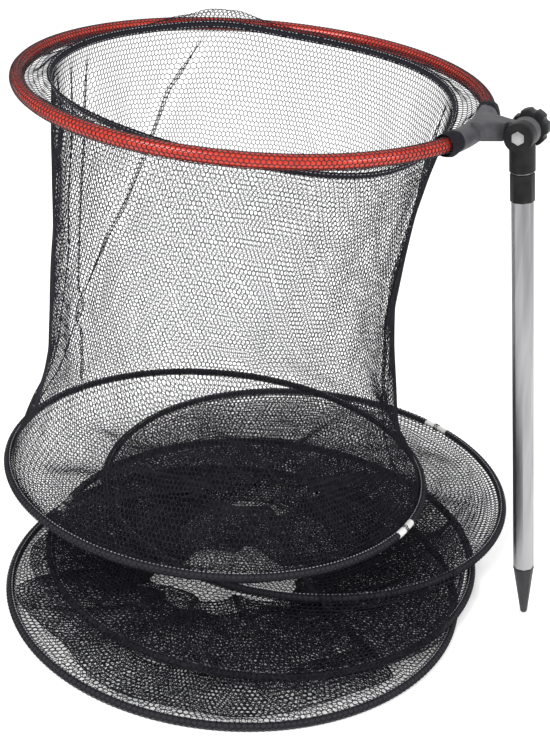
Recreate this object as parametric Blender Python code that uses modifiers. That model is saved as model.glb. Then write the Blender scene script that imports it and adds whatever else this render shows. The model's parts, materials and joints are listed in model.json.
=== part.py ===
"""Keep net: a hooped net bag under a round mouth ring, with a toothed tilting head and a bank stick.

The bag stands collapsed on its lowest hoop, with only the top section drawn up.
Metres, +Z up, origin on the floor under the middle of the whole.
"""

import math

import bmesh
import bpy
from mathutils import Matrix, Vector

# Clearances shared by all pieces
GAP = 0.0003
OVERRUN = 0.002

# Mouth ring: a round aluminium tube whose ends are held in the yoke
RING_RADIUS = 0.200
RING_TUBE_RADIUS = 0.0057
RING_BORE_RADIUS = 0.0045
RING_PLACE_SHARES = (-0.184, -0.034)
RING_HEIGHT = 0.442
RING_TILT = (math.radians(0.76), math.radians(0.43))
SLEEVE_THICKNESS = 0.0005
SLEEVE_TAIL_LENGTH = 0.006
SLEEVE_SIDES = 7
SLEEVE_SLOT = math.pi / SLEEVE_SIDES
SLEEVE_RADIUS = (RING_TUBE_RADIUS + GAP) / math.cos(math.pi / SLEEVE_SIDES) + SLEEVE_THICKNESS / 2

# Skirt and binding tape inside the mouth
SKIRT_THICKNESS = 0.0005
TAPE_INSET = 0.027
TAPE_RADIUS = RING_RADIUS - TAPE_INSET
TAPE_DROP = 0.003
TAPE_WIDTH = 0.014
TAPE_THICKNESS = 0.0012
TAPE_SLOPE = math.radians(30)
TAPE_RISE = 0.0075
TAPE_WAVE_SHARES = ((1, 1.0, math.radians(127)), (2, 0.4, math.radians(60)), (3, 0.27, math.radians(10)))

# Black hoops: a plastic rod in a netting hem, its ends joined by a ferrule
HOOP_ROD_RADIUS = 0.0025
HEM_RADIUS = 0.0040
HEM_WALL = 0.0005
HEM_SIDES = 6
HEM_FLAT = HEM_RADIUS * math.cos(math.pi / HEM_SIDES)
FERRULE_LENGTH = 0.030
FERRULE_RADIUS = 0.0034
FERRULE_BORE = HOOP_ROD_RADIUS + GAP
HOOP_RADIUS = 0.200
BASE_HOOP_RADIUS = 0.2035
HOOP_1_RISE = 0.043
HOOP_2_RISE = 0.0064
BASE_HEIGHT = HEM_FLAT
HOOP_3_HEIGHT = BASE_HEIGHT + 2 * HEM_FLAT + GAP
HOOP_2_HEIGHT = HOOP_3_HEIGHT + 2 * HEM_FLAT + HOOP_2_RISE
HOOP_1_HEIGHT = HOOP_2_HEIGHT + HOOP_1_RISE
HOOP_RADII = {
    "hoop_1": HOOP_RADIUS,
    "hoop_2": HOOP_RADIUS,
    "hoop_3": HOOP_RADIUS,
    "base_hoop": BASE_HOOP_RADIUS,
}
HOOP_HEIGHTS = {
    "hoop_1": HOOP_1_HEIGHT,
    "hoop_2": HOOP_2_HEIGHT,
    "hoop_3": HOOP_3_HEIGHT,
    "base_hoop": BASE_HEIGHT,
}
# Each hoop's centre, as shares of its radius
HOOP_PLACE_SHARES = {
    "hoop_1": (-0.245, -0.035),
    "hoop_2": (0.19, 0.195),
    "hoop_3": (0.0, -0.295),
    "base_hoop": (-0.113, -0.550),
}
HOOP_1_TILT = (math.radians(-1.1), math.radians(1.7))
HOOP_TILTS = {"hoop_1": HOOP_1_TILT, "hoop_2": (0, 0), "hoop_3": (0, 0), "base_hoop": (0, 0)}
JOINER_AZIMUTHS = {
    "hoop_1": math.radians(333),
    "hoop_2": math.radians(44),
    "hoop_3": math.radians(168),
    "base_hoop": math.radians(95),
}

# Netting sections
NET_THICKNESS = 0.0006
NET_STRAND = 0.0035
NET_EDGE_LIFT = NET_THICKNESS / 2 + GAP
NET_WAIST_RADIUS = 0.158
NET_PLEATS = 11
NET_PLEAT_DEPTH = 0.006
PILE_CENTRE_SHARES = (-0.03, -0.18)
PILE_PLEATS = 7
PILE_PLEAT_HEIGHT = 0.0020
FOLD_WAVE_SHARE = 0.10
FOLD_RADIUS = 0.080
FOLD_RADIUS_SHARES = {"net_section_2": 0.75, "net_section_3": 0.875, "net_section_4": 1.0}
FOLD_RISE = 0.0060
# Rise of each section's fold over its lower hoop and over its upper one, as shares of FOLD_RISE
FOLD_RISE_SHARES = {"net_section_2": (3.7, -1.8), "net_section_3": (1.95, 1.0), "net_section_4": (1.15, 1.0)}
BASE_NET_CELLS = 7
BASE_NET_STRAND = 0.0035
BASE_NET_THICKNESS = 0.0008

# Yoke: a moulded block on the ring's ends, with an arm to the toothed disc
YOKE_AZIMUTH = math.radians(-23)
YOKE_HALF_SPAN = math.radians(14.8)
YOKE_RADIUS = 0.0092
SOCKET_DEPTH = math.radians(7.6)
SOCKET_BORE = RING_TUBE_RADIUS + GAP
ARM_HEIGHT = 0.0150
ARM_RISE = 0.0035
ARM_ROOT_HALF = 0.019
ARM_EDGE = 0.0015
ARM_REACH = 0.038
AXIS_RADIUS = RING_RADIUS + ARM_REACH

# Tilt joint: two toothed discs clamped by a bolt
DISC_RADIUS = 0.0120
EYE_THICKNESS = 0.0120
DISC_THICKNESS = 0.0115
TEETH = 24
TOOTH_DEPTH = 0.0010
TOOTH_INNER_RADIUS = 0.0060
BOLT_RADIUS = 0.0030
BOLT_HEAD_FLATS = 0.0100
BOLT_HEAD_HEIGHT = 0.0036
BOLT_RECESS_DEPTH = 0.0030
STICK_LEAN = math.radians(9.2)

# Head body under the joint
HEAD_RADIUS = 0.01065
HEAD_LENGTH = 0.0302
SWEEP_CLEARANCE = 0.0010
HEAD_SWEEP_RADIUS = DISC_RADIUS + SWEEP_CLEARANCE
HEAD_CHAMFER = 0.0008

# Clamp knob behind the arm
WASHER_THICKNESS = 0.0012
WASHER_RADIUS = 0.0080
KNOB_NECK_RADIUS = 0.0078
KNOB_NECK_LENGTH = 0.0059
KNOB_RADIUS = 0.0155
KNOB_THICKNESS = 0.0110
KNOB_LOBES = 7
KNOB_NOTCH_RADIUS = 0.0032
KNOB_NOTCH_PLACE = 0.0165
KNOB_BACK_WALL = 0.0020
KNOB_EDGE = 0.0010
INSERT_WALL = 0.0016

# Threaded stud between head and stick
STUD_RADIUS = 0.00476
STUD_SEAT_DEPTH = 0.012
STUD_REACH = 0.013
STUD_FLANGE_RADIUS = 0.0088
STUD_FLANGE_THICKNESS = 0.0008

# Bank stick: an octagonal tube with a moulded collar and spike
STICK_SIDES = 8
STICK_TURN = math.radians(16)
STICK_FLATS = 0.0170
STICK_WALL = 0.0010
STICK_TUBE_END = 0.3984
COLLAR_FLATS = 0.0187
COLLAR_LENGTH = 0.0232
COLLAR_TOP = 0.0040
COLLAR_BOSS_RADIUS = 0.0070
COLLAR_BOSS_LENGTH = 0.0150
STICK_INSERT_LENGTH = 0.0150
SPIKE_PLUG_LENGTH = 0.020
SPIKE_PLUG_FLATS = STICK_FLATS - 2 * (STICK_WALL + GAP)
SPIKE_SHOULDER = 0.0015
SPIKE_LENGTH = 0.0485
SPIKE_TIP_FLATS = 0.0058
SPIKE_TIP_ROUND = 0.0014

# Mesh counts
RING_STEPS = 36
NET_STEPS = 30
ROUND_SIDES = 32
SMALL_SIDES = 20

PARTS = "keep_net"
CUTTERS = "keep_net_cutters"

COLOURS = {
    "red_alloy": ((0.62, 0.035, 0.02), 0.35, 0.6),
    "black_net": ((0.012, 0.013, 0.018), 0.75, 0.0),
    "black_tape": ((0.016, 0.016, 0.020), 0.85, 0.0),
    "black_rod": ((0.020, 0.020, 0.022), 0.5, 0.0),
    "white_plastic": ((0.80, 0.80, 0.78), 0.45, 0.0),
    "grey_nylon": ((0.075, 0.076, 0.080), 0.55, 0.0),
    "black_nylon": ((0.020, 0.020, 0.021), 0.5, 0.0),
    "zinc_steel": ((0.55, 0.56, 0.57), 0.35, 1.0),
    "brass": ((0.62, 0.45, 0.18), 0.35, 1.0),
    "bare_alloy": ((0.62, 0.63, 0.64), 0.38, 1.0),
}


def clear_scene():
    for obj in list(bpy.data.objects):
        bpy.data.objects.remove(obj, do_unlink=True)


def collection(name):
    found = bpy.data.collections.new(name)
    bpy.context.scene.collection.children.link(found)
    return found


def material(name):
    colour, roughness, metallic = COLOURS[name]
    made = bpy.data.materials.get(name) or bpy.data.materials.new(name)
    made.use_nodes = True
    shader = made.node_tree.nodes["Principled BSDF"]
    shader.inputs["Base Color"].default_value = (*colour, 1.0)
    shader.inputs["Roughness"].default_value = roughness
    shader.inputs["Metallic"].default_value = metallic
    return made


def empty(name, parent, matrix=None):
    """A frame that pieces are placed in."""
    made = bpy.data.objects.new(name, None)
    made.empty_display_size = RING_TUBE_RADIUS
    parts.objects.link(made)
    made.parent = parent
    if matrix is not None:
        made.matrix_local = matrix
    return made


def node(name, mesh, slot, parent, smooth=True):
    """A finished piece: one mesh, one material, placed in its parent's frame."""
    mesh.materials.clear()
    mesh.materials.append(material(slot))
    if smooth:
        mesh.shade_smooth()
        mesh.set_sharp_from_angle(angle=math.radians(35))
    made = bpy.data.objects.new(name, mesh)
    parts.objects.link(made)
    made.parent = parent
    return made


def finish_bmesh(bm, name):
    mesh = bpy.data.meshes.new(name)
    bm.to_mesh(mesh)
    bm.free()
    return mesh


def mesh_of(obj):
    """The evaluated mesh of a curve or a modified piece, its caps welded; the object goes."""
    graph = bpy.context.evaluated_depsgraph_get()
    mesh = bpy.data.meshes.new_from_object(obj.evaluated_get(graph))
    bm = bmesh.new()
    bm.from_mesh(mesh)
    bmesh.ops.remove_doubles(bm, verts=bm.verts, dist=GAP / 30)
    bm.to_mesh(mesh)
    bm.free()
    bpy.data.objects.remove(obj, do_unlink=True)
    return mesh


def along(axis):
    """Turns a shape made along +Z to lie along the named axis."""
    return {"X": Matrix.Rotation(math.pi / 2, 4, "Y"), "Y": Matrix.Rotation(-math.pi / 2, 4, "X"),
            "Z": Matrix.Identity(4)}[axis]


def prism(name, radius, low, high, sides, axis="Z", top_radius=None, turn=0.0):
    """A closed cylinder, prism or cone from low to high along an axis."""
    bm = bmesh.new()
    bmesh.ops.create_cone(bm, cap_ends=True, segments=sides, radius1=radius,
                          radius2=radius if top_radius is None else top_radius, depth=high - low)
    place = along(axis) @ Matrix.Translation((0, 0, (low + high) / 2)) @ Matrix.Rotation(turn, 4, "Z")
    bmesh.ops.transform(bm, matrix=place, verts=bm.verts)
    return finish_bmesh(bm, name)


def corner_radius(flats, sides=STICK_SIDES):
    """Corner radius of a regular polygon given across its flats."""
    return flats / 2 / math.cos(math.pi / sides)


def turned(name, profile, steps=SMALL_SIDES, axis="Z", angle=2 * math.pi, start=0.0):
    """A mesh turned about an axis from (radius, height) points that run down the outer side."""
    bm = bmesh.new()
    verts = [bm.verts.new((r, 0, z)) for r, z in profile]
    on_axis = profile[0][0] == 0 and profile[-1][0] == 0
    for one, two in zip(verts, verts[1:] if on_axis else verts[1:] + verts[:1]):
        bm.edges.new((one, two))
    shape = bpy.data.objects.new(name, finish_bmesh(bm, name))
    parts.objects.link(shape)
    screw = shape.modifiers.new("turn", "SCREW")
    screw.angle = angle
    screw.steps = screw.render_steps = steps
    screw.use_merge_vertices = True
    screw.merge_threshold = GAP / 30
    mesh = mesh_of(shape)
    mesh.transform(along(axis) @ Matrix.Rotation(start, 4, "Z"))
    return mesh


def spaced(start, end, steps):
    """Evenly spaced values from start to end."""
    return [start + (end - start) * i / steps for i in range(steps + 1)]


def arc_tube(name, radius, tube_radius, turns, bevel_resolution):
    """A round tube bent along an arc in the XY plane, through the given azimuths."""
    curve = bpy.data.curves.new(name, "CURVE")
    curve.dimensions = "3D"
    curve.bevel_depth = tube_radius
    curve.bevel_resolution = bevel_resolution
    curve.use_fill_caps = True
    spline = curve.splines.new("POLY")
    spline.points.add(len(turns) - 1)
    for point, turn in zip(spline.points, turns):
        point.co = (radius * math.cos(turn), radius * math.sin(turn), 0, 1)
    shape = bpy.data.objects.new(name, curve)
    parts.objects.link(shape)
    return mesh_of(shape)


def plate(name, outline, thickness, edge=0.0, axis="Z"):
    """A flat outline with straight walls, centred on its plane."""
    curve = bpy.data.curves.new(name, "CURVE")
    curve.dimensions = "2D"
    curve.fill_mode = "BOTH"
    curve.extrude = thickness / 2 - edge
    curve.bevel_depth = edge
    curve.offset = -edge
    curve.bevel_resolution = 1
    spline = curve.splines.new("POLY")
    spline.points.add(len(outline) - 1)
    for point, (x, y) in zip(spline.points, outline):
        point.co = (x, y, 0, 1)
    spline.use_cyclic_u = True
    shape = bpy.data.objects.new(name, curve)
    parts.objects.link(shape)
    mesh = mesh_of(shape)
    mesh.transform(along(axis))
    return mesh


def combine(name, mesh, joined=(), cut=()):
    """One solid: the mesh with others joined to it, then others cut from it."""
    shape = bpy.data.objects.new(name, mesh)
    parts.objects.link(shape)
    for operation, meshes in (("UNION", joined), ("DIFFERENCE", cut)):
        for index, tool_mesh in enumerate(meshes):
            tool = bpy.data.objects.new(f"{name}_{operation.lower()}_{index}", tool_mesh)
            cutters.objects.link(tool)
            tool.hide_render = True
            tool.display_type = "WIRE"
            step = shape.modifiers.new(f"{operation.lower()}_{index}", "BOOLEAN")
            step.operation = operation
            step.solver = "EXACT"
            step.object = tool
    tools = [step.object for step in shape.modifiers]
    result = mesh_of(shape)
    for tool in tools:
        bpy.data.objects.remove(tool, do_unlink=True)
    return result


def open_gaps(bm, faces, strand):
    """Open each face as a gap, with half a strand left round it."""
    bm.normal_update()
    bmesh.ops.inset_individual(bm, faces=faces, thickness=strand / 2, use_even_offset=True)
    bmesh.ops.delete(bm, geom=faces, context="FACES")


def sheet(rows, thickness, closed=True, strand=0, plain_strips=1):
    """A thin wall through rows of points, each row running once round; a strand width opens its faces."""
    bm = bmesh.new()
    grid = [[bm.verts.new(p) for p in row] for row in rows]
    count = len(rows[0])
    for low, high in zip(grid, grid[1:]):
        for i in range(count if closed else count - 1):
            bm.faces.new((low[i], low[(i + 1) % count], high[(i + 1) % count], high[i]))
    if strand:
        open_gaps(bm, list(bm.faces)[plain_strips * count:], strand)
    mesh = finish_bmesh(bm, "sheet")
    shape = bpy.data.objects.new("sheet", mesh)
    parts.objects.link(shape)
    wall = shape.modifiers.new("wall", "SOLIDIFY")
    wall.thickness = thickness
    wall.offset = 0
    return mesh_of(shape)


def ring_frame(place, tilt):
    """The frame of a ring: its centre, turned about X then Y."""
    return Matrix.Translation(place) @ Matrix.Rotation(tilt[1], 4, "Y") @ Matrix.Rotation(tilt[0], 4, "X")


def hoop_frame(name):
    radius, shares = HOOP_RADII[name], HOOP_PLACE_SHARES[name]
    return ring_frame((radius * shares[0], radius * shares[1], HOOP_HEIGHTS[name]), HOOP_TILTS[name])


def mouth_place():
    return (RING_RADIUS * RING_PLACE_SHARES[0], RING_RADIUS * RING_PLACE_SHARES[1], RING_HEIGHT)


def azimuths(steps=NET_STEPS):
    return [2 * math.pi * i / steps for i in range(steps)]


def polar(frame, radius, azimuth, height):
    """A point given by radius, azimuth and height in a ring's frame."""
    return frame @ Vector((radius * math.cos(azimuth), radius * math.sin(azimuth), height))


def tape_height(azimuth):
    """Height of the binding tape's middle over the ring's plane."""
    wave = sum(share * math.cos(turns * azimuth - phase) for turns, share, phase in TAPE_WAVE_SHARES)
    return TAPE_RISE * wave - TAPE_DROP


def tape_point(azimuth, share, out=0.0):
    """A point across the tape: share -1 is its upper edge, +1 its lower one; out is off its outer face."""
    reach = share * TAPE_WIDTH / 2
    radius = TAPE_RADIUS - reach * math.sin(TAPE_SLOPE) + out * math.cos(TAPE_SLOPE)
    height = tape_height(azimuth) - reach * math.cos(TAPE_SLOPE) - out * math.sin(TAPE_SLOPE)
    return radius, height


def build_mouth_ring(parent):
    covered = sleeve_turns()
    socket = spaced(0, SOCKET_DEPTH, 4)[1:]
    first = [covered[0] - depth for depth in reversed(socket)]
    turns = [*first, *covered, *[covered[-1] + depth for depth in socket]]
    tube = arc_tube("mouth_ring", RING_RADIUS, RING_TUBE_RADIUS, turns, 2)
    past = OVERRUN / RING_RADIUS
    bore_turns = [turns[0] - past, *turns[1:-1], turns[-1] + past]
    bore = arc_tube("bore", RING_RADIUS, RING_BORE_RADIUS, bore_turns, 1)
    return node("mouth_ring", combine("mouth_ring", tube, cut=[bore]), "red_alloy", parent)


def sleeve_turns():
    """Azimuths of the sleeve, which starts and ends at the yoke."""
    clear = YOKE_HALF_SPAN + 3 * GAP / RING_RADIUS
    start = YOKE_AZIMUTH + clear
    return spaced(start, start + 2 * math.pi - 2 * clear, RING_STEPS)


def build_mouth_sleeve(parent):
    """Netting wrapped round the tube, both edges meeting in a tail on its inner side."""
    half_slot = SLEEVE_SLOT / 2
    profile = [(RING_RADIUS - SLEEVE_RADIUS - SLEEVE_TAIL_LENGTH, tail_height())]
    for turn in spaced(math.pi - half_slot, half_slot - math.pi, SLEEVE_SIDES):
        profile.append((RING_RADIUS + SLEEVE_RADIUS * math.cos(turn), SLEEVE_RADIUS * math.sin(turn)))
    rows = [[Vector((r * math.cos(t), r * math.sin(t), z)) for t in sleeve_turns()] for r, z in profile]
    return node("mouth_sleeve", sheet(rows, SLEEVE_THICKNESS, closed=False), "black_net", parent)


def tail_height():
    """Height of the sleeve's tail over the ring's plane."""
    return SLEEVE_RADIUS * math.sin(SLEEVE_SLOT / 2)


def build_mouth_skirt(parent):
    """Netting from the sleeve's tail down to the tape."""
    outer = (RING_RADIUS - SLEEVE_RADIUS - SLEEVE_TAIL_LENGTH) * math.cos(math.pi / RING_STEPS) - GAP
    rows = []
    for share in (0, 0.5, 1):
        row = []
        for azimuth in azimuths():
            end_radius, end_height = tape_point(azimuth, -1, TAPE_THICKNESS / 2 + GAP + SKIRT_THICKNESS)
            radius = outer + (end_radius - outer) * share
            height = tail_height() + (end_height - tail_height()) * share
            row.append(polar(Matrix.Identity(4), radius, azimuth, height))
        rows.append(row)
    return node("mouth_skirt", sheet(rows, SKIRT_THICKNESS), "black_net", parent)


def build_mouth_tape(parent):
    rows = []
    for share in (-1, 1):
        row = []
        for azimuth in azimuths():
            radius, height = tape_point(azimuth, share)
            row.append(polar(Matrix.Identity(4), radius, azimuth, height))
        rows.append(row)
    return node("mouth_tape", sheet(rows, TAPE_THICKNESS), "black_tape", parent)


def hem_turns(name):
    """Azimuths of a hem: the netting's own, cut off where the ferrule is."""
    radius, middle = HOOP_RADII[name], JOINER_AZIMUTHS[name]
    clear = (FERRULE_LENGTH / 2 + GAP) / radius
    first, last = middle + clear, middle + 2 * math.pi - clear
    apart = GAP / radius
    grid = azimuths() + [a + 2 * math.pi for a in azimuths()]
    return [first, *[a for a in grid if first + apart < a < last - apart], last]


def build_hoop(name, parent):
    """The rod, bent round until its ends meet in the ferrule."""
    radius, middle = HOOP_RADII[name], JOINER_AZIMUTHS[name]
    end = GAP / radius
    half = FERRULE_LENGTH / 4 / radius
    full_turn = middle + 2 * math.pi
    turns = [middle + end, middle + half, *hem_turns(name), full_turn - half, full_turn - end]
    return node(name, arc_tube(name, radius, HOOP_ROD_RADIUS, turns, 1), "black_rod", parent)


def build_joiner(name, hoop_name, parent):
    """The ferrule over the hoop's two ends."""
    radius, middle = HOOP_RADII[hoop_name], JOINER_AZIMUTHS[hoop_name]
    half = FERRULE_LENGTH / 2 / radius
    steps = 4
    tube = arc_tube(name, radius, FERRULE_RADIUS, spaced(middle - half, middle + half, steps), 2)
    longer = half + OVERRUN / radius
    bore = arc_tube("bore", radius, FERRULE_BORE, spaced(middle - longer, middle + longer, steps), 2)
    return node(name, combine(name, tube, cut=[bore]), "white_plastic", parent)


def build_hem(name, hoop_name, parent):
    """Netting sewn into a tunnel round the hoop, open where the ferrule is."""
    radius = HOOP_RADII[hoop_name]
    middle = HEM_RADIUS - HEM_WALL / 2
    corners = spaced(0, 2 * math.pi, HEM_SIDES)[:-1]
    rows = [[polar(Matrix.Identity(4), radius + middle * math.cos(turn), azimuth, middle * math.sin(turn))
             for turn in corners] for azimuth in hem_turns(hoop_name)]
    return node(name, sheet(rows, HEM_WALL), "black_net", parent)


def pleat(azimuth, share):
    """Depth of the drawn section's pleats, deepest half way up."""
    swell = math.sin(math.pi * share)
    return NET_PLEAT_DEPTH * swell * math.cos(NET_PLEATS * azimuth)


def build_drawn_section(parent):
    """Section 1: from the first hoop, in to a waist and up to the tape, its gaps drawn large."""
    low_frame = hoop_frame("hoop_1")
    top_frame = ring_frame(mouth_place(), RING_TILT)
    low_radius = inside_hem("hoop_1")
    height_shares = (0, 0.06, 0.20, 0.36, 0.52, 0.68, 0.84, 1)
    waist_shares = (0, 0.31, 0.72, 0.89, 0.95, 0.88, 0.52, 0)
    rows = []
    for up, waist in zip(height_shares, waist_shares):
        row = []
        for azimuth in azimuths():
            top_radius, top_height = tape_point(azimuth, 1)
            low = polar(low_frame, low_radius, azimuth, NET_EDGE_LIFT)
            high = polar(top_frame, top_radius, azimuth, top_height - GAP - NET_THICKNESS)
            centre = low_frame.translation.lerp(top_frame.translation, up)
            point = low.lerp(high, up)
            radius = low_radius + (top_radius - low_radius) * up
            target = radius + (NET_WAIST_RADIUS - radius) * waist + pleat(azimuth, up)
            offset = (point - centre).to_2d() * (target / radius)
            row.append(Vector((centre.x + offset.x, centre.y + offset.y, point.z)))
        rows.append(row)
    mesh = sheet(rows, NET_THICKNESS, strand=NET_STRAND)
    return node("net_section_1", mesh, "black_net", parent)


def inside_hem(hoop_name):
    """Radius at which netting starts inside a hoop's hem."""
    return HOOP_RADII[hoop_name] - HEM_RADIUS - GAP / 2


def pile_place(radius, azimuth, height):
    """A point about the middle of the pile of slack netting."""
    return Vector((HOOP_RADIUS * PILE_CENTRE_SHARES[0] + radius * math.cos(azimuth),
                   HOOP_RADIUS * PILE_CENTRE_SHARES[1] + radius * math.sin(azimuth), height))


def build_folded_section(name, low_hoop, high_hoop, parent):
    """A slack section: in from the lower hoop to a fold near the middle, and out to the upper hoop."""
    rows = []
    low_share, high_share = FOLD_RISE_SHARES[name]
    for hoop, rise_share, side, inward_shares in ((low_hoop, low_share, 1, (0, 0.6, 1)),
                                                  (high_hoop, high_share, -1, (1, 0.6, 0))):
        fold_height = HOOP_HEIGHTS[hoop] + FOLD_RISE * rise_share
        for inward in inward_shares:
            row = []
            for azimuth in azimuths():
                start = polar(hoop_frame(hoop), inside_hem(hoop), azimuth, side * NET_EDGE_LIFT)
                lobe = 1 - FOLD_WAVE_SHARE * math.cos(3 * azimuth)
                fold = pile_place(FOLD_RADIUS * FOLD_RADIUS_SHARES[name] * lobe, azimuth, fold_height)
                point = start.lerp(fold, inward)
                wave = PILE_PLEAT_HEIGHT * math.sin(PILE_PLEATS * azimuth) * inward
                point.z = start.z + (fold.z - start.z) * inward ** 3 + wave
                row.append(point)
            rows.append(row)
    return node(name, sheet(rows, NET_THICKNESS), "black_net", parent)


def build_base_net(parent):
    """The flat panel that closes the bag, its gaps drawn large."""
    radius = BASE_HOOP_RADIUS - HEM_RADIUS - GAP
    bm = bmesh.new()
    bmesh.ops.create_grid(bm, x_segments=BASE_NET_CELLS, y_segments=BASE_NET_CELLS, size=radius)
    outside = [face for face in bm.faces if face.calc_center_median().to_2d().length > radius]
    bmesh.ops.delete(bm, geom=outside, context="FACES")
    for vert in bm.verts:
        if vert.is_boundary:
            vert.co.xy = vert.co.xy.normalized() * radius
    bmesh.ops.inset_individual(bm, faces=bm.faces, thickness=BASE_NET_STRAND / 2)
    inner = [face for face in bm.faces if all(not edge.is_boundary for edge in face.edges)]
    inner = [face for face in inner if len(face.edges) == 4 and face.calc_area() > (BASE_NET_STRAND * 4) ** 2]
    bmesh.ops.delete(bm, geom=inner, context="FACES")
    shape = bpy.data.objects.new("base_net", finish_bmesh(bm, "base_net"))
    parts.objects.link(shape)
    wall = shape.modifiers.new("wall", "SOLIDIFY")
    wall.thickness = BASE_NET_THICKNESS
    wall.offset = 0
    mesh = mesh_of(shape)
    mesh.transform(Matrix.Translation((0, 0, BASE_NET_THICKNESS - BASE_HEIGHT)))
    return node("base_net", mesh, "black_net", parent)


def toothed_disc(name, thickness):
    """A disc along +Y from 0, with radial teeth on the face at 0 whose crests lie half a gap back."""
    bm = bmesh.new()
    sides = 2 * TEETH
    bmesh.ops.create_cone(bm, cap_ends=True, segments=sides, radius1=DISC_RADIUS,
                          radius2=DISC_RADIUS, depth=thickness)
    bm.faces.ensure_lookup_table()
    face = min(bm.faces, key=lambda f: f.calc_center_median().z)
    rim = sorted(face.verts, key=lambda v: math.atan2(v.co.y, v.co.x))
    bmesh.ops.inset_region(bm, faces=[face], thickness=DISC_RADIUS - TOOTH_INNER_RADIUS,
                           use_even_offset=False)
    for vert in rim[::2]:
        vert.co.z += TOOTH_DEPTH
    place = along("Y") @ Matrix.Translation((0, 0, thickness / 2 + GAP / 2))
    bmesh.ops.transform(bm, matrix=place, verts=bm.verts)
    bmesh.ops.triangulate(bm, faces=bm.faces)
    return finish_bmesh(bm, name)


def build_yoke(parent):
    """The block on the ring's ends and the arm that carries the toothed disc."""
    block = arc_tube("ring_yoke", RING_RADIUS, YOKE_RADIUS, spaced(-YOKE_HALF_SPAN, YOKE_HALF_SPAN, 8), 5)
    neck = AXIS_RADIUS - HEAD_SWEEP_RADIUS - ARM_EDGE
    front = GAP + TOOTH_DEPTH + ARM_EDGE / 2
    outline = [
        (RING_RADIUS, ARM_ROOT_HALF),
        (RING_RADIUS, -ARM_ROOT_HALF),
        (RING_RADIUS + YOKE_RADIUS, -ARM_ROOT_HALF * 0.8),
        (neck, -EYE_THICKNESS * 0.35),
        (neck + ARM_EDGE, front),
        (AXIS_RADIUS, front),
        (AXIS_RADIUS, DISC_THICKNESS),
        (neck, DISC_THICKNESS),
        (RING_RADIUS + YOKE_RADIUS, ARM_ROOT_HALF * 0.85),
    ]
    arm = plate("arm", outline, ARM_HEIGHT)
    arm.transform(Matrix.Translation((0, 0, ARM_RISE)))
    disc = toothed_disc("disc", DISC_THICKNESS)
    disc.transform(Matrix.Translation((AXIS_RADIUS, 0, ARM_RISE)))
    cut = []
    for side in (-1, 1):
        start = side * (YOKE_HALF_SPAN - SOCKET_DEPTH - GAP / RING_RADIUS)
        end = side * (YOKE_HALF_SPAN + OVERRUN / RING_RADIUS)
        cut.append(arc_tube("socket", RING_RADIUS, SOCKET_BORE, spaced(start, end, 5), 4))
    hole = prism("bolt_hole", BOLT_RADIUS + GAP, -OVERRUN, DISC_THICKNESS + OVERRUN, SMALL_SIDES, "Y")
    hole.transform(Matrix.Translation((AXIS_RADIUS, 0, ARM_RISE)))
    cut.append(hole)
    return node("ring_yoke", combine("ring_yoke", block, [arm, disc], cut), "grey_nylon", parent)


def build_head_body(parent):
    """The upright barrel, its top half cut away for the arm's disc, with the toothed eye in front."""
    barrel = turned("head_body", [
        (0, 0), (HEAD_RADIUS, 0), (HEAD_RADIUS, HEAD_CHAMFER - HEAD_LENGTH),
        (HEAD_RADIUS - HEAD_CHAMFER, -HEAD_LENGTH), (0, -HEAD_LENGTH)], ROUND_SIDES)
    sweep = prism("sweep", HEAD_SWEEP_RADIUS, -GAP / 2 - OVERRUN / 2, HEAD_RADIUS + OVERRUN, ROUND_SIDES, "Y")
    barrel = combine("head_body", barrel, cut=[sweep])
    eye = toothed_disc("eye", EYE_THICKNESS)
    eye.transform(Matrix.Rotation(math.pi, 4, "Z") @ Matrix.Rotation(math.pi / 2 / TEETH, 4, "Y"))
    hole = prism("bolt_hole", BOLT_RADIUS + GAP, -EYE_THICKNESS - OVERRUN, OVERRUN, SMALL_SIDES, "Y")
    recess_low = -EYE_THICKNESS - GAP
    recess = prism("recess", corner_radius(BOLT_HEAD_FLATS, 6) + GAP, recess_low - OVERRUN,
                   recess_low + BOLT_RECESS_DEPTH + GAP, 6, "Y")
    seat_top = STUD_SEAT_DEPTH + GAP - HEAD_LENGTH
    seat = prism("seat", STUD_RADIUS + GAP, -HEAD_LENGTH - OVERRUN, seat_top, SMALL_SIDES)
    return node("head_body", combine("head_body", barrel, [eye], [hole, recess, seat]), "black_nylon", parent)


def build_bolt(parent):
    """A hexagon bolt held in the eye, long enough to reach into the knob."""
    head_low = -EYE_THICKNESS - GAP + BOLT_RECESS_DEPTH - BOLT_HEAD_HEIGHT
    head = prism("tilt_bolt", corner_radius(BOLT_HEAD_FLATS, 6), head_low,
                 head_low + BOLT_HEAD_HEIGHT, 6, "Y")
    shank = prism("shank", BOLT_RADIUS, head_low + BOLT_HEAD_HEIGHT / 2,
                  knob_back() - KNOB_BACK_WALL - 3 * GAP,
                  SMALL_SIDES, "Y")
    return node("tilt_bolt", combine("tilt_bolt", head, [shank]), "zinc_steel", parent)


def washer_low():
    return DISC_THICKNESS + GAP / 2 + GAP


def knob_low():
    return washer_low() + WASHER_THICKNESS + GAP


def knob_back():
    return knob_low() + KNOB_NECK_LENGTH + KNOB_THICKNESS


def ring_profile(inner, outer, low, high):
    """A flat ring's section, listed down its outer side."""
    return [(inner, high), (outer, high), (outer, low), (inner, low)]


def build_washer(parent):
    low = washer_low()
    profile = ring_profile(BOLT_RADIUS + GAP, WASHER_RADIUS, low, low + WASHER_THICKNESS)
    return node("clamp_washer", turned("clamp_washer", profile, axis="Y"), "zinc_steel", parent)


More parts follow.
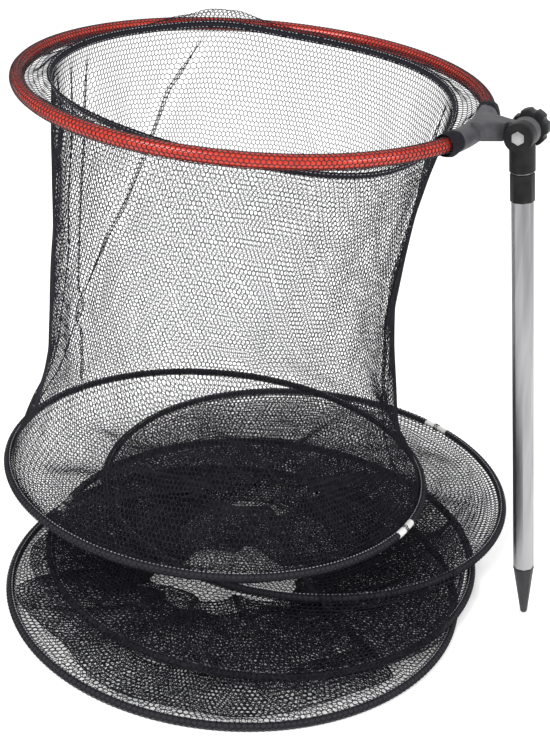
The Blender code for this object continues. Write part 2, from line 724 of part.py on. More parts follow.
def build_knob(parent):
    """A lobed star knob on a short neck, bored for its insert."""
    low = knob_low()
    face = low + KNOB_NECK_LENGTH
    star = turned("star", [
        (0, knob_back()), (KNOB_RADIUS - KNOB_EDGE, knob_back()), (KNOB_RADIUS, knob_back() - KNOB_EDGE),
        (KNOB_RADIUS, face + KNOB_EDGE), (KNOB_RADIUS - KNOB_EDGE, face), (0, face)], 2 * ROUND_SIDES, "Y")
    notches = []
    for i in range(KNOB_LOBES):
        turn = 2 * math.pi * (i + 0.5) / KNOB_LOBES
        notch = prism("notch", KNOB_NOTCH_RADIUS, face - OVERRUN, knob_back() + OVERRUN, SMALL_SIDES, "Y")
        place = (KNOB_NOTCH_PLACE * math.cos(turn), 0, KNOB_NOTCH_PLACE * math.sin(turn))
        notch.transform(Matrix.Translation(place))
        notches.append(notch)
    star = combine("star", star, cut=notches)
    neck = prism("neck", KNOB_NECK_RADIUS, low, face + OVERRUN, ROUND_SIDES, "Y")
    bore = prism("bore", knob_insert_radius() + GAP, low - OVERRUN,
                 knob_back() - KNOB_BACK_WALL, SMALL_SIDES, "Y")
    return node("clamp_knob", combine("clamp_knob", star, [neck], [bore]), "black_nylon", parent)


def knob_insert_radius():
    return BOLT_RADIUS + GAP + INSERT_WALL


def build_knob_insert(parent):
    high = knob_back() - KNOB_BACK_WALL - GAP
    profile = ring_profile(BOLT_RADIUS + GAP, knob_insert_radius(), knob_low(), high)
    return node("knob_insert", turned("knob_insert", profile, axis="Y"), "brass", parent)


def stick_top():
    """Height of the stick's upper face in the head's frame."""
    return -HEAD_LENGTH - STUD_FLANGE_THICKNESS - 2 * GAP


def build_stud(parent):
    """Threaded rod moulded into the head, with a thin flange that the stick tightens against."""
    top = STUD_SEAT_DEPTH - HEAD_LENGTH
    flange_top = -HEAD_LENGTH - GAP
    flange_low = flange_top - STUD_FLANGE_THICKNESS
    mesh = turned("threaded_stud", [
        (0, top), (STUD_RADIUS, top), (STUD_RADIUS, flange_top), (STUD_FLANGE_RADIUS, flange_top),
        (STUD_FLANGE_RADIUS, flange_low), (STUD_RADIUS, flange_low), (STUD_RADIUS, flange_low - STUD_REACH),
        (0, flange_low - STUD_REACH)])
    return node("threaded_stud", mesh, "zinc_steel", parent)


def build_collar(parent):
    """Moulded cap over the tube's end, with a boss inside for the threaded insert."""
    top = stick_top()
    low = top - COLLAR_LENGTH
    pocket_top = top - COLLAR_TOP
    cap = prism("stick_collar", corner_radius(COLLAR_FLATS), low, top, STICK_SIDES)
    pocket = prism("pocket", corner_radius(STICK_FLATS + 2 * GAP), low - OVERRUN, pocket_top, STICK_SIDES)
    boss_low = pocket_top - COLLAR_BOSS_LENGTH
    boss = prism("boss", COLLAR_BOSS_RADIUS, boss_low, pocket_top + OVERRUN / 2, SMALL_SIDES)
    bore = prism("bore", stick_insert_radius() + GAP, boss_low - OVERRUN, top + OVERRUN, SMALL_SIDES)
    shell = combine("shell", cap, cut=[pocket])
    mesh = combine("stick_collar", shell, [boss], [bore])
    return node("stick_collar", mesh, "black_nylon", parent, smooth=False)


def stick_insert_radius():
    return STUD_RADIUS + GAP + INSERT_WALL / 2


def build_stick_insert(parent):
    low = stick_top() - STICK_INSERT_LENGTH
    profile = ring_profile(STUD_RADIUS + GAP, stick_insert_radius(), low, stick_top())
    return node("stick_insert", turned("stick_insert", profile), "brass", parent)


def build_stick_tube(parent):
    """Octagonal tube, open at both ends."""
    top = stick_top() - COLLAR_TOP - GAP
    outer = prism("stick_tube", corner_radius(STICK_FLATS), -STICK_TUBE_END, top, STICK_SIDES)
    inner = prism("inner", corner_radius(STICK_FLATS - 2 * STICK_WALL), -STICK_TUBE_END - OVERRUN,
                  top + OVERRUN, STICK_SIDES)
    return node("stick_tube", combine("stick_tube", outer, cut=[inner]), "bare_alloy", parent, smooth=False)


def build_spike(parent):
    """Moulded point: a plug in the tube, a shoulder and a long taper to a blunt tip."""
    top = -STICK_TUBE_END - GAP
    plug_radius = corner_radius(SPIKE_PLUG_FLATS)
    shoulder_radius = corner_radius(STICK_FLATS + GAP)
    tip_radius = corner_radius(SPIKE_TIP_FLATS)
    mesh = turned("stick_spike", [
        (0, top + SPIKE_PLUG_LENGTH),
        (plug_radius, top + SPIKE_PLUG_LENGTH),
        (plug_radius, top),
        (shoulder_radius, top),
        (shoulder_radius, top - SPIKE_SHOULDER),
        (corner_radius(STICK_FLATS - GAP), top - SPIKE_SHOULDER),
        (tip_radius, top - SPIKE_LENGTH + SPIKE_TIP_ROUND),
        (tip_radius / 2, top - SPIKE_LENGTH),
        (0, top - SPIKE_LENGTH)], STICK_SIDES)
    return node("stick_spike", mesh, "black_nylon", parent, smooth=False)


def build():
    root = empty("keep_net_frame", None)
    mouth = empty("mouth_frame", root, ring_frame(mouth_place(), RING_TILT))
    build_mouth_ring(mouth)
    build_mouth_sleeve(mouth)
    build_mouth_skirt(mouth)
    build_mouth_tape(mouth)

    for index, name in enumerate(HOOP_RADII):
        frame = empty(name + "_frame", root, hoop_frame(name))
        suffix = "base" if name == "base_hoop" else str(index + 1)
        build_hoop(name, frame)
        build_joiner("joiner_" + suffix, name, frame)
        build_hem("hem_" + suffix, name, frame)
        if name == "base_hoop":
            build_base_net(frame)

    build_drawn_section(root)
    build_folded_section("net_section_2", "hoop_2", "hoop_1", root)
    build_folded_section("net_section_3", "hoop_3", "hoop_2", root)
    build_folded_section("net_section_4", "base_hoop", "hoop_3", root)

    yoke = empty("yoke_frame", mouth, Matrix.Rotation(YOKE_AZIMUTH, 4, "Z"))
    build_yoke(yoke)
    head_place = Matrix.Translation((AXIS_RADIUS, 0, ARM_RISE)) @ Matrix.Rotation(-STICK_LEAN, 4, "Y")
    head = empty("tilt_axis", yoke, head_place)
    build_head_body(head)
    build_bolt(head)
    build_stud(head)
    build_washer(head)
    build_knob(head)
    build_knob_insert(head)
    stick = empty("stick_axis", head, Matrix.Rotation(STICK_TURN, 4, "Z"))
    build_collar(stick)
    build_stick_insert(stick)
    build_stick_tube(stick)
    build_spike(stick)
    centre_on_floor(root)


def centre_on_floor(root):
    """Moves the whole so that its origin lies on the floor under the middle of its box."""
    bpy.context.view_layer.update()
    meshes = [obj for obj in parts.objects if obj.type == "MESH"]
    points = [obj.matrix_world @ vert.co for obj in meshes for vert in obj.data.vertices]
    low = Vector([min(p[i] for p in points) for i in range(3)])
    high = Vector([max(p[i] for p in points) for i in range(3)])
    root.location = (-(low.x + high.x) / 2, -(low.y + high.y) / 2, -low.z)
    bpy.context.view_layer.update()


clear_scene()
parts = collection(PARTS)
cutters = collection(CUTTERS)
build()
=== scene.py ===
# A round keep net on a bank stick: its netting, hems, tapes and finishes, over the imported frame.
import json
import math

import bpy
import numpy as np
from mathutils import Matrix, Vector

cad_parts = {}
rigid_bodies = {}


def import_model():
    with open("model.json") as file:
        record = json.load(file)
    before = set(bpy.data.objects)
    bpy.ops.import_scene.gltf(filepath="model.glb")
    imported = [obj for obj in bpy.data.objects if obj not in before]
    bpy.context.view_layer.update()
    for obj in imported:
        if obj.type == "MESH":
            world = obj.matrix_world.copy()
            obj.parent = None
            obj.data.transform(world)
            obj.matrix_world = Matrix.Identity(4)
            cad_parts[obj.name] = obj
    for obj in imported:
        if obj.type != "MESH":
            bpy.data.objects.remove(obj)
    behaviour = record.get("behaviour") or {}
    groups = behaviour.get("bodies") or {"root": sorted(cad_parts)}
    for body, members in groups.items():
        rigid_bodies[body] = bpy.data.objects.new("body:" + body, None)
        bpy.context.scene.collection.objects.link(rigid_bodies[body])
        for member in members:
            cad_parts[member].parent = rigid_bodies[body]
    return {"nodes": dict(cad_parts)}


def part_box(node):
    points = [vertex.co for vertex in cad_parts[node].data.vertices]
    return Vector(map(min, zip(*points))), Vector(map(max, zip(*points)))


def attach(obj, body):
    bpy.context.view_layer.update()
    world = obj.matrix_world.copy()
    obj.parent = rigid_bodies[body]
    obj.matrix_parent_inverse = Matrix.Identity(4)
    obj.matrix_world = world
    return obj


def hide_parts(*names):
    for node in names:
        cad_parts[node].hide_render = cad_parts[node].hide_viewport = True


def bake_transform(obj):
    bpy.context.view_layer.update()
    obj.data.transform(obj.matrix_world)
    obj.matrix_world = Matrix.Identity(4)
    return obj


# Netting
STRAND_RADIUS = 0.00040
PILED_STRAND_RADIUS = 0.00048
STRAND_SIDES = 3
HANGING_MESH = 0.0045
PILED_MESH = 0.0050
SLEEVE_MESH = 0.0040
JOINT_SHARE = 1 / math.sqrt(3)
SECTION_DEPTH = 0.330
HANGING_PIECES = 3
PILED_PIECES = 2
# Ripples are sums of this many waves. In the tables each has a size, a seed, its most turns round
# the net and its most waves down it.
RIPPLE_WAVES = 14

# Mouth: ring, sleeve, skirt and tape
RING_RADIUS = 0.200
RING_TUBE_RADIUS = 0.0057
RING_TILT = (math.radians(0.76), math.radians(0.43))
YOKE_AZIMUTH = math.radians(-23)
YOKE_HALF_SPAN = math.radians(14.8)
SLEEVE_START = YOKE_AZIMUTH + YOKE_HALF_SPAN
SLEEVE_END = YOKE_AZIMUTH + math.tau - YOKE_HALF_SPAN
SOCKET_DEPTH = math.radians(7.6)
SLEEVE_LIFT = 0.0005
SLEEVE_RADIUS = RING_TUBE_RADIUS + SLEEVE_LIFT
TAPE_INSET = 0.027
TAPE_DROP = 0.003
TAPE_WIDTH = 0.0070
TAPE_THICKNESS = 0.0011
TAPE_STEPS = 360
TAPE_SLOPE = math.radians(30)
TAPE_PUCKER = 0.0004
TAPE_PUCKERS = 150
TAPE_STITCH_SHARE = 0.7
# Round the tape's cross section: shares of half its width, downwards, and of half its thickness, outwards
TAPE_OUTLINE_SHARES = (
    (-1, -1), (-0.96, -1.3), (0.96, -1.3), (1, -1), (1, 1), (0.96, 1.3),
    (0.5, 0.8), (0, 0.7), (-0.5, 0.8), (-0.96, 1.3), (-1, 1),
)
# The tape rises and falls round the mouth. Each wave: turns, share of the rise, phase
TAPE_RISE = 0.0075
TAPE_WAVE_SHARES = (
    (1, 1.0, math.radians(127)),
    (2, 0.4, math.radians(60)),
    (3, 0.27, math.radians(10)),
)
TAPE_DIP = 0.009
DIP_AZIMUTH = math.radians(-48)
DIP_SPAN = math.radians(30)
TAPE_PEAK = 0.004
SKIRT_PEAK = 0.015
PEAK_AZIMUTH = math.radians(103)
PEAK_SPAN = math.radians(17)
SKIRT_TOP = 0.0015
SKIRT_SAG = 0.0015
SKIRT_ON_TAPE_SHARE = 0.8
SKIRT_RIPPLES = ((0.0008, 70, 40, 2),)

# Hoops and their hems
HOOP_RADIUS = 0.200
BASE_HOOP_RADIUS = 0.2035
HOOP_1_TILT = (math.radians(-1.1), math.radians(1.7))
ROD_RADIUS = 0.0025
LINING_RADIUS = 0.0031
HEM_RADIUS = 0.0036
FERRULE_LENGTH = 0.030
FERRULE_RADIUS = 0.0034
BAND_LENGTH = 0.005
BAND_LIFT = 0.0001
SEAM_TURN = math.radians(100)
STITCH_SPACING = 0.0036
STITCH_LENGTH = 0.0023
STITCH_RADIUS = 0.00050
STITCH_PLACE = math.radians(112)
HEM_STITCH_STEPS = 240
JOINER_AZIMUTHS = {
    "hoop_1": math.radians(333),
    "hoop_2": math.radians(44),
    "hoop_3": math.radians(168),
    "base_hoop": math.radians(95),
}

# Faces of the tubes: sides round, steps along
RING_FACES = (28, 240)
ROD_FACES = (8, 180)
LINING_FACES = (12, 220)
FERRULE_FACES = (20, 12)

# Section 1: height share from the tape, inset and sideways drift as shares of the hoop's radius
WAIST_SHARES = (
    (0.00, 0.000, 0.000),
    (0.06, 0.023, -0.012),
    (0.12, 0.046, -0.024),
    (0.18, 0.067, -0.033),
    (0.25, 0.084, -0.039),
    (0.36, 0.110, -0.043),
    (0.50, 0.138, -0.045),
    (0.61, 0.140, -0.032),
    (0.72, 0.136, -0.017),
    (0.80, 0.123, -0.016),
    (0.87, 0.092, -0.010),
    (0.95, 0.020, 0.000),
    (1.00, 0.000, 0.000),
)
TABLE_STEPS = 241
TABLE_ROUNDING_STEPS = 15
FOLD_WIDTH = 0.0075
FOLD_LIFT = 0.0024
FOLD_TURN_BACK_SHARE = 2.3
FOLD_TOP_SHARE = 0.10
FOLD_FOOT_SHARE = 0.08
WAIST_RADIUS_SHARE = 0.8
LOOSE_TOP_SHARE = 0.15
LOOSE_FOOT_SHARE = 0.12
SEAM_ON_TAPE_SHARE = 0.9
SIDEWAYS_RIPPLES = ((0.010, 3, 9, 1.5), (0.002, 4, 24, 2))
OUTWARD_RIPPLES = ((0.0005, 5, 30, 3), (0.0012, 6, 12, 1.5))
UPWARD_RIPPLES = ((0.0022, 7, 8, 2), (0.0003, 8, 30, 4))
# Each fold: azimuths in degrees against height shares
FOLDS = (
    ((107, 0.0), (118, 0.14), (125, 0.30), (132, 0.415), (141, 0.55), (151.5, 0.667), (157, 0.76),
     (165, 1.0)),
    ((154, 0.0), (154, 0.60), (153, 0.71), (147.7, 0.84), (141, 0.97), (140, 1.0)),
    ((164, 0.0), (163, 0.30), (162, 0.50), (166.7, 0.67), (168, 0.80), (170, 1.0)),
    ((-22, 0.0), (-23.7, 0.17), (-24.8, 0.42), (-20.7, 0.54), (-22, 0.65), (-15, 1.0)),
    ((176, 0.0), (175, 0.3), (178, 0.6), (182, 1.0)),
    ((8, 0.0), (5, 0.2), (12, 0.5), (18, 0.8), (14, 1.0)),
)

# Pile of the three lower sections. Each runs in from its upper hoop to a slit, and out to its lower hoop.
# At the front, where the spill says so, one leg of the path turns out over the rim of the lower hoop.
# Levels are the heights of the four legs, folds those of the three corners between them. The first legs
# of two sections rest over a hoop. Middle and slit are in the camera's own frame on the ground.
PILES = {
    "net_section_2": {
        "hoops": ("hoop_1", "hoop_2"), "bodies": ("upper_hoop", "middle_hoop"), "seed": 20,
        "middle": (-0.005, 0.012), "slit": (0.045, 0.008), "hole": 0.012, "spill": "last",
        "levels": (0.0255, 0.0255, 0.0225, 0.0215), "folds": (0.0255, 0.0240, 0.0205),
        "over": "hoop_2", "legs_over": 3, "crumple": 0.0028,
    },
    "net_section_3": {
        "hoops": ("hoop_2", "hoop_3"), "bodies": ("middle_hoop", "lower_hoop"), "seed": 40,
        "middle": (-0.028, -0.124), "slit": (0.032, 0.000), "hole": 0.034, "spill": "outward",
        "levels": (0.0185, 0.0160, 0.0125, 0.0125), "folds": (0.0100, 0.0145, 0.0125),
        "over": "hoop_3", "legs_over": 2, "crumple": 0.0011,
    },
    "net_section_4": {
        "hoops": ("hoop_3", "base_hoop"), "bodies": ("lower_hoop", "base"), "seed": 60,
        "middle": (-0.030, -0.120), "slit": (0.026, 0.004), "hole": 0.044, "spill": "inward",
        "levels": (0.0092, 0.0062, 0.0052, 0.0042), "folds": (0.0078, 0.0050, 0.0046),
        "over": None, "legs_over": 0, "crumple": 0.0004,
    },
}
# How far the turned leg passes the rim, the share by which that varies, and its turns round the net
SPILLS = {
    "last": (0.016, 0.3, 5),
    "outward": (0.014, 0.4, 6),
    "inward": (-0.010, 0.5, 7),
}
TURN_BACK_SHARE = 0.42
PILE_STRETCH_SHARE = 1.13
SIDE_STEP_SHARE = 0.35
REACH_TRIES = 24
LOBE_RIPPLES = ((0.11, 0, 6, 0),)
LOBE_LIMITS = (0.5, 1.5)
SEAM_OFFSET = 0.0005
FOLD_ROUNDING = 0.006
RIM_FALL = 0.030
FOLD_FALL = 0.012
HEM_CLEARANCE = 0.0012
GROUND_HEIGHT = 0.0024
GROUND_RIPPLES = ((0.0004, 5, 20, 6),)
FLOOR_HEIGHT = 0.0009
FLOOR_WRINKLE = 0.0009
FLOOR_WRINKLE_LIMIT = 0.003
SWAY_RUNS = 1.6
SWAY_SHARE = 0.22
SWAY_MARGIN_SHARE = 0.2
SWAY_RIPPLES = ((1.2, 7, 4, 0),)
BUNCHES = 9
BUNCH_SLANT = 2.6
BUNCH_RIPPLES = ((2.2, 8, 3, 0.8),)
BUNCH_SHARE = 0.45
BUNCH_HEIGHT_SHARE = 1.1
BUNCH_MARGIN_SHARE = 0.14
PILE_SIDEWAYS_RIPPLES = ((0.0045, 3, 8, 1.2),)
PILE_OUTWARD_RIPPLES = ((0.004, 4, 9, 1.2),)
# As shares of a section's crumple
PILE_UPWARD_RIPPLE_SHARES = ((0.6, 2, 9, 1.6), (0.12, 1, 30, 4))
FRONT = (math.radians(-105), math.radians(79))
COVERED_FRONT = (math.radians(-64), math.radians(33))
FRONT_SOFTNESS = math.radians(16)

# Gathered ends of the sleeve, over the yoke's sockets
GATHER_RADIUS = 0.0099
GATHER_SWELL = 0.0012
GATHER_SPAN = math.radians(4.6)
GATHER_OVERLAP_SHARE = 0.62
GATHER_SIDES = 24
GATHER_STEPS = 30
GATHER_FULLNESS = 0.35
# Each lump: size, waves round the tube, waves along the ring
GATHER_LUMPS = ((0.0004, 5, 40), (0.0003, 3, -90))

# Grain of the finishes: scale of the colour's patches as a share of the relief's, and the relief's depth
PATCH_SHARE = 0.08
GRAIN_DEPTH = 0.0002

# Finished edges of the moulded and metal pieces
EDGE_WIDTH = 0.0002
EDGE_WIDTHS = {"ring_yoke": 0.0006, "clamp_knob": 0.0005, "stick_tube": 0.0004, "head_body": 0.0003}
BEVEL_ANGLE = math.radians(28)
SHARP_ANGLE = math.radians(32)

# Camera, lamps and floor
CAMERA_PLACE = (0.0, -1.226, 0.775)
CAMERA_PITCH = math.radians(26.4)
CAMERA_ROLL = math.radians(4.38)
CAMERA_LENS = 70.35
SENSOR = 36.0
BASE_PLACE_SHARES = (-0.113, -0.550)
# Each lamp: place, size and power
LAMPS = {
    "key": ((-1.6, -1.8, 2.4), 1.6, 60.0),
    "fill": ((2.0, -1.2, 1.4), 1.2, 22.0),
}
LAMP_TARGET = (0.0, 0.0, 0.2)
FLOOR_REACH = 30.0
FLOOR_GLOW = 0.25
STUDIO_LIGHT = 0.85


def clear():
    for obj in list(bpy.data.objects):
        bpy.data.objects.remove(obj)


clear()
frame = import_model()
bpy.context.view_layer.update()


# Materials

def shader(name, roughness, metallic=0.0, coat=0.0, shine=0.5):
    """A new material with a Principled shader, and the tools to wire it."""
    mat = bpy.data.materials.new(name)
    mat.use_nodes = True
    nodes, links = mat.node_tree.nodes, mat.node_tree.links
    bsdf = nodes["Principled BSDF"]
    bsdf.inputs["Roughness"].default_value = roughness
    bsdf.inputs["Metallic"].default_value = metallic
    bsdf.inputs["Coat Weight"].default_value = coat
    bsdf.inputs["Specular IOR Level"].default_value = shine
    return mat, nodes, links, bsdf


def noise(nodes, links, scale, detail=3.0, stretch=(1, 1, 1)):
    coordinates = nodes.new("ShaderNodeTexCoord")
    mapping = nodes.new("ShaderNodeMapping")
    mapping.inputs["Scale"].default_value = stretch
    texture = nodes.new("ShaderNodeTexNoise")
    texture.inputs["Scale"].default_value = scale
    texture.inputs["Detail"].default_value = detail
    links.new(coordinates.outputs["Object"], mapping.inputs["Vector"])
    links.new(mapping.outputs["Vector"], texture.inputs["Vector"])
    return texture.outputs["Fac"]


def blend_colours(nodes, links, factor, low, high, socket):
    ramp = nodes.new("ShaderNodeValToRGB")
    ramp.color_ramp.elements[0].position = 0.35
    ramp.color_ramp.elements[1].position = 0.65
    ramp.color_ramp.elements[0].color = (*low, 1)
    ramp.color_ramp.elements[1].color = (*high, 1)
    links.new(factor, ramp.inputs["Fac"])
    links.new(ramp.outputs["Color"], socket)


def spread(nodes, links, factor, low, high, socket):
    reach = nodes.new("ShaderNodeMapRange")
    reach.inputs["To Min"].default_value = low
    reach.inputs["To Max"].default_value = high
    links.new(factor, reach.inputs["Value"])
    links.new(reach.outputs["Result"], socket)


def bump(nodes, links, bsdf, height, strength, distance):
    node = nodes.new("ShaderNodeBump")
    node.inputs["Strength"].default_value = strength
    node.inputs["Distance"].default_value = distance
    links.new(height, node.inputs["Height"])
    links.new(node.outputs["Normal"], bsdf.inputs["Normal"])


def grained(name, low, high, roughness, scale, strength, metallic=0.0, coat=0.0, stretch=(1, 1, 1),
            shine=0.5):
    """A finish whose colour, roughness and relief vary with one noise."""
    mat, nodes, links, bsdf = shader(name, roughness[0], metallic, coat, shine)
    broad = noise(nodes, links, scale * PATCH_SHARE, 4.0, stretch)
    fine = noise(nodes, links, scale, 3.0, stretch)
    blend_colours(nodes, links, broad, low, high, bsdf.inputs["Base Color"])
    spread(nodes, links, fine, roughness[0], roughness[1], bsdf.inputs["Roughness"])
    bump(nodes, links, bsdf, fine, strength, GRAIN_DEPTH)
    return mat


def woven(name, low, high, roughness, thread, strength):
    """A weave over a surface's own UV, which is in metres."""
    mat, nodes, links, bsdf = shader(name, roughness, shine=0.2)
    coordinates = nodes.new("ShaderNodeUVMap")
    waves = []
    for direction in ("X", "Y"):
        wave = nodes.new("ShaderNodeTexWave")
        wave.bands_direction = direction
        wave.inputs["Scale"].default_value = math.pi / (10 * thread)
        wave.inputs["Distortion"].default_value = 0.6
        wave.inputs["Detail"].default_value = 1.0
        links.new(coordinates.outputs["UV"], wave.inputs["Vector"])
        waves.append(wave.outputs["Fac"])
    product = nodes.new("ShaderNodeMath")
    product.operation = "MULTIPLY"
    links.new(waves[0], product.inputs[0])
    links.new(waves[1], product.inputs[1])
    blend_colours(nodes, links, product.outputs[0], low, high, bsdf.inputs["Base Color"])
    bump(nodes, links, bsdf, product.outputs[0], strength, thread / 3)
    return mat


NETTING = grained("netting_yarn", (0.010, 0.010, 0.014), (0.023, 0.023, 0.030), (0.5, 0.75), 1800, 0.4,
                  shine=0.10)
SLEEVE = grained("sleeve_yarn", (0.030, 0.012, 0.014), (0.060, 0.030, 0.034), (0.4, 0.6), 1800, 0.4,
                 shine=0.4)
LINING = woven("hem_lining", (0.020, 0.020, 0.025), (0.042, 0.042, 0.052), 0.8, 0.0011, 0.6)
TAPE = woven("seam_tape", (0.003, 0.003, 0.006), (0.018, 0.018, 0.028), 0.75, 0.0011, 0.8)
THREAD = grained("stitch_thread", (0.20, 0.20, 0.23), (0.42, 0.42, 0.46), (0.5, 0.7), 2600, 0.5)
RED = grained("red_anodised_tube", (0.50, 0.018, 0.005), (0.64, 0.032, 0.009), (0.20, 0.32), 900, 0.04,
              metallic=0.2, coat=0.35)
ROD = grained("black_rod", (0.010, 0.010, 0.012), (0.022, 0.022, 0.025), (0.35, 0.5), 900, 0.1)
WHITE = grained("white_ferrule", (0.66, 0.66, 0.64), (0.80, 0.80, 0.78), (0.35, 0.5), 700, 0.15)
GREY = grained("grey_nylon", (0.040, 0.040, 0.045), (0.066, 0.066, 0.072), (0.42, 0.6), 1500, 0.35,
               shine=0.35)
BLACK = grained("black_nylon", (0.004, 0.004, 0.005), (0.010, 0.010, 0.011), (0.36, 0.55), 1500, 0.3,
                shine=0.18)
KNOB = grained("knob_nylon", (0.005, 0.005, 0.006), (0.013, 0.013, 0.015), (0.36, 0.55), 1100, 0.45,
               shine=0.25)
SPIKE = grained("spike_nylon", (0.014, 0.014, 0.016), (0.032, 0.032, 0.035), (0.5, 0.7), 900, 0.45,
                shine=0.3)
STEEL = grained("zinc_steel", (0.22, 0.22, 0.22), (0.38, 0.38, 0.38), (0.28, 0.5), 800, 0.2, metallic=1.0)
BRASS = grained("brass", (0.55, 0.38, 0.13), (0.70, 0.50, 0.20), (0.25, 0.4), 800, 0.1, metallic=1.0)
ALLOY = grained("drawn_alloy", (0.26, 0.26, 0.27), (0.40, 0.40, 0.41), (0.26, 0.42), 900, 0.10,
                metallic=1.0, stretch=(1, 1, 0.02))


# Meshes

def mesh_object(name, points, edges=(), faces=(), material=None):
    mesh = bpy.data.meshes.new(name)
    mesh.from_pydata(np.asarray(points).tolist(), np.asarray(edges).tolist(), np.asarray(faces).tolist())
    if material:
        mesh.materials.append(material)
    obj = bpy.data.objects.new(name, mesh)
    bpy.context.scene.collection.objects.link(obj)
    return obj


def settle(obj):
    """Keeps what the modifiers made as the object's own mesh."""
    made = bpy.data.meshes.new_from_object(obj.evaluated_get(bpy.context.evaluated_depsgraph_get()))
    drawn = obj.data
    obj.modifiers.clear()
    obj.data = made
    made.name = obj.name
    bpy.data.meshes.remove(drawn)
    return obj


def new_group(name, inputs):
    group = bpy.data.node_groups.new(name, "GeometryNodeTree")
    group.interface.new_socket("Geometry", in_out="INPUT", socket_type="NodeSocketGeometry")
    for label, kind in inputs:
        group.interface.new_socket(label, in_out="INPUT", socket_type=kind)
    group.interface.new_socket("Geometry", in_out="OUTPUT", socket_type="NodeSocketGeometry")
    entry = group.nodes.new("NodeGroupInput")
    end = group.nodes.new("NodeGroupOutput")
    return group, group.nodes, group.links, entry, end


def close_group(nodes, links, entry, end, geometry):
    """Ends a group: smooth faces, real instances, one material."""
    smooth = nodes.new("GeometryNodeSetShadeSmooth")
    real = nodes.new("GeometryNodeRealizeInstances")
    finish = nodes.new("GeometryNodeSetMaterial")
    links.new(geometry, smooth.inputs["Geometry"])
    links.new(smooth.outputs["Geometry"], real.inputs["Geometry"])
    links.new(real.outputs["Geometry"], finish.inputs["Geometry"])
    links.new(entry.outputs["Material"], finish.inputs["Material"])
    links.new(finish.outputs["Geometry"], end.inputs["Geometry"])


def strand_group():
    """Every line of edges becomes a round strand."""
    group, nodes, links, entry, end = new_group("Netting Strands", [
        ("Strand Radius", "NodeSocketFloat"), ("Strand Sides", "NodeSocketInt"),
        ("Material", "NodeSocketMaterial")])
    curve = nodes.new("GeometryNodeMeshToCurve")
    profile = nodes.new("GeometryNodeCurvePrimitiveCircle")
    tube = nodes.new("GeometryNodeCurveToMesh")
    links.new(entry.outputs["Geometry"], curve.inputs["Mesh"])
    links.new(entry.outputs["Strand Radius"], profile.inputs["Radius"])
    links.new(entry.outputs["Strand Sides"], profile.inputs["Resolution"])
    links.new(curve.outputs["Curve"], tube.inputs["Curve"])
    links.new(profile.outputs["Curve"], tube.inputs["Profile Curve"])
    close_group(nodes, links, entry, end, tube.outputs["Mesh"])
    return group


def stitch_group():
    """Short stitches at even steps along a line of edges."""
    group, nodes, links, entry, end = new_group("Stitches", [
        ("Spacing", "NodeSocketFloat"), ("Length", "NodeSocketFloat"), ("Radius", "NodeSocketFloat"),
        ("Material", "NodeSocketMaterial")])
    curve = nodes.new("GeometryNodeMeshToCurve")
    points = nodes.new("GeometryNodeCurveToPoints")
    points.mode = "LENGTH"
    bead = nodes.new("GeometryNodeMeshUVSphere")
    bead.inputs["Segments"].default_value = 6
    bead.inputs["Rings"].default_value = 4
    bead.inputs["Radius"].default_value = 1
    half = nodes.new("ShaderNodeMath")
    half.operation = "MULTIPLY"
    half.inputs[1].default_value = 0.5
    shape = nodes.new("ShaderNodeCombineXYZ")
    spot = nodes.new("GeometryNodeInstanceOnPoints")
    links.new(entry.outputs["Geometry"], curve.inputs["Mesh"])
    links.new(curve.outputs["Curve"], points.inputs["Curve"])
    links.new(entry.outputs["Spacing"], points.inputs["Length"])
    links.new(entry.outputs["Length"], half.inputs[0])
    links.new(entry.outputs["Radius"], shape.inputs["X"])
    links.new(entry.outputs["Radius"], shape.inputs["Y"])
    links.new(half.outputs[0], shape.inputs["Z"])
    links.new(points.outputs["Points"], spot.inputs["Points"])
    links.new(points.outputs["Rotation"], spot.inputs["Rotation"])
    links.new(bead.outputs["Mesh"], spot.inputs["Instance"])
    links.new(shape.outputs["Vector"], spot.inputs["Scale"])
    close_group(nodes, links, entry, end, spot.outputs["Instances"])
    return group


def edge_group():
    """Smooth faces with the sharp edges kept."""
    group, nodes, links, entry, end = new_group("Smooth By Angle", [("Angle", "NodeSocketFloat")])
    smooth = nodes.new("GeometryNodeSetShadeSmooth")
    sharp = nodes.new("GeometryNodeSetShadeSmooth")
    sharp.domain = "EDGE"
    sharp.inputs["Shade Smooth"].default_value = False
    angle = nodes.new("GeometryNodeInputMeshEdgeAngle")
    above = nodes.new("FunctionNodeCompare")
    above.operation = "GREATER_THAN"
    links.new(entry.outputs["Geometry"], smooth.inputs["Geometry"])
    links.new(smooth.outputs["Geometry"], sharp.inputs["Geometry"])
    links.new(angle.outputs["Unsigned Angle"], above.inputs["A"])
    links.new(entry.outputs["Angle"], above.inputs["B"])
    links.new(above.outputs["Result"], sharp.inputs["Selection"])
    links.new(sharp.outputs["Geometry"], end.inputs["Geometry"])
    return group


STRANDS = strand_group()
STITCHES = stitch_group()
EDGES = edge_group()


def with_group(obj, group, values):
    modifier = obj.modifiers.new(group.name, "NODES")
    modifier.node_group = group
    for item in group.interface.items_tree:
        if item.item_type == "SOCKET" and item.in_out == "INPUT" and item.name in values:
            modifier[item.identifier] = values[item.name]
    return obj


# Shape of the hoops, the mouth and the netting between them

def centre(node):
    low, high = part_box(node)
    return np.array((low + high) / 2)


def ring_frame(place, tilt=(0.0, 0.0)):
    turned = Matrix.Rotation(tilt[1], 4, "Y") @ Matrix.Rotation(tilt[0], 4, "X")
    return np.array(Matrix.Translation(place) @ turned)


def polar(ring, radius, azimuth, height):
    """Points by radius, azimuth and height in a ring's frame."""
    radius, azimuth, height = np.broadcast_arrays(radius, azimuth, height)
    local = np.stack([radius * np.cos(azimuth), radius * np.sin(azimuth), height], -1)
    return local @ ring[:3, :3].T + ring[:3, 3]


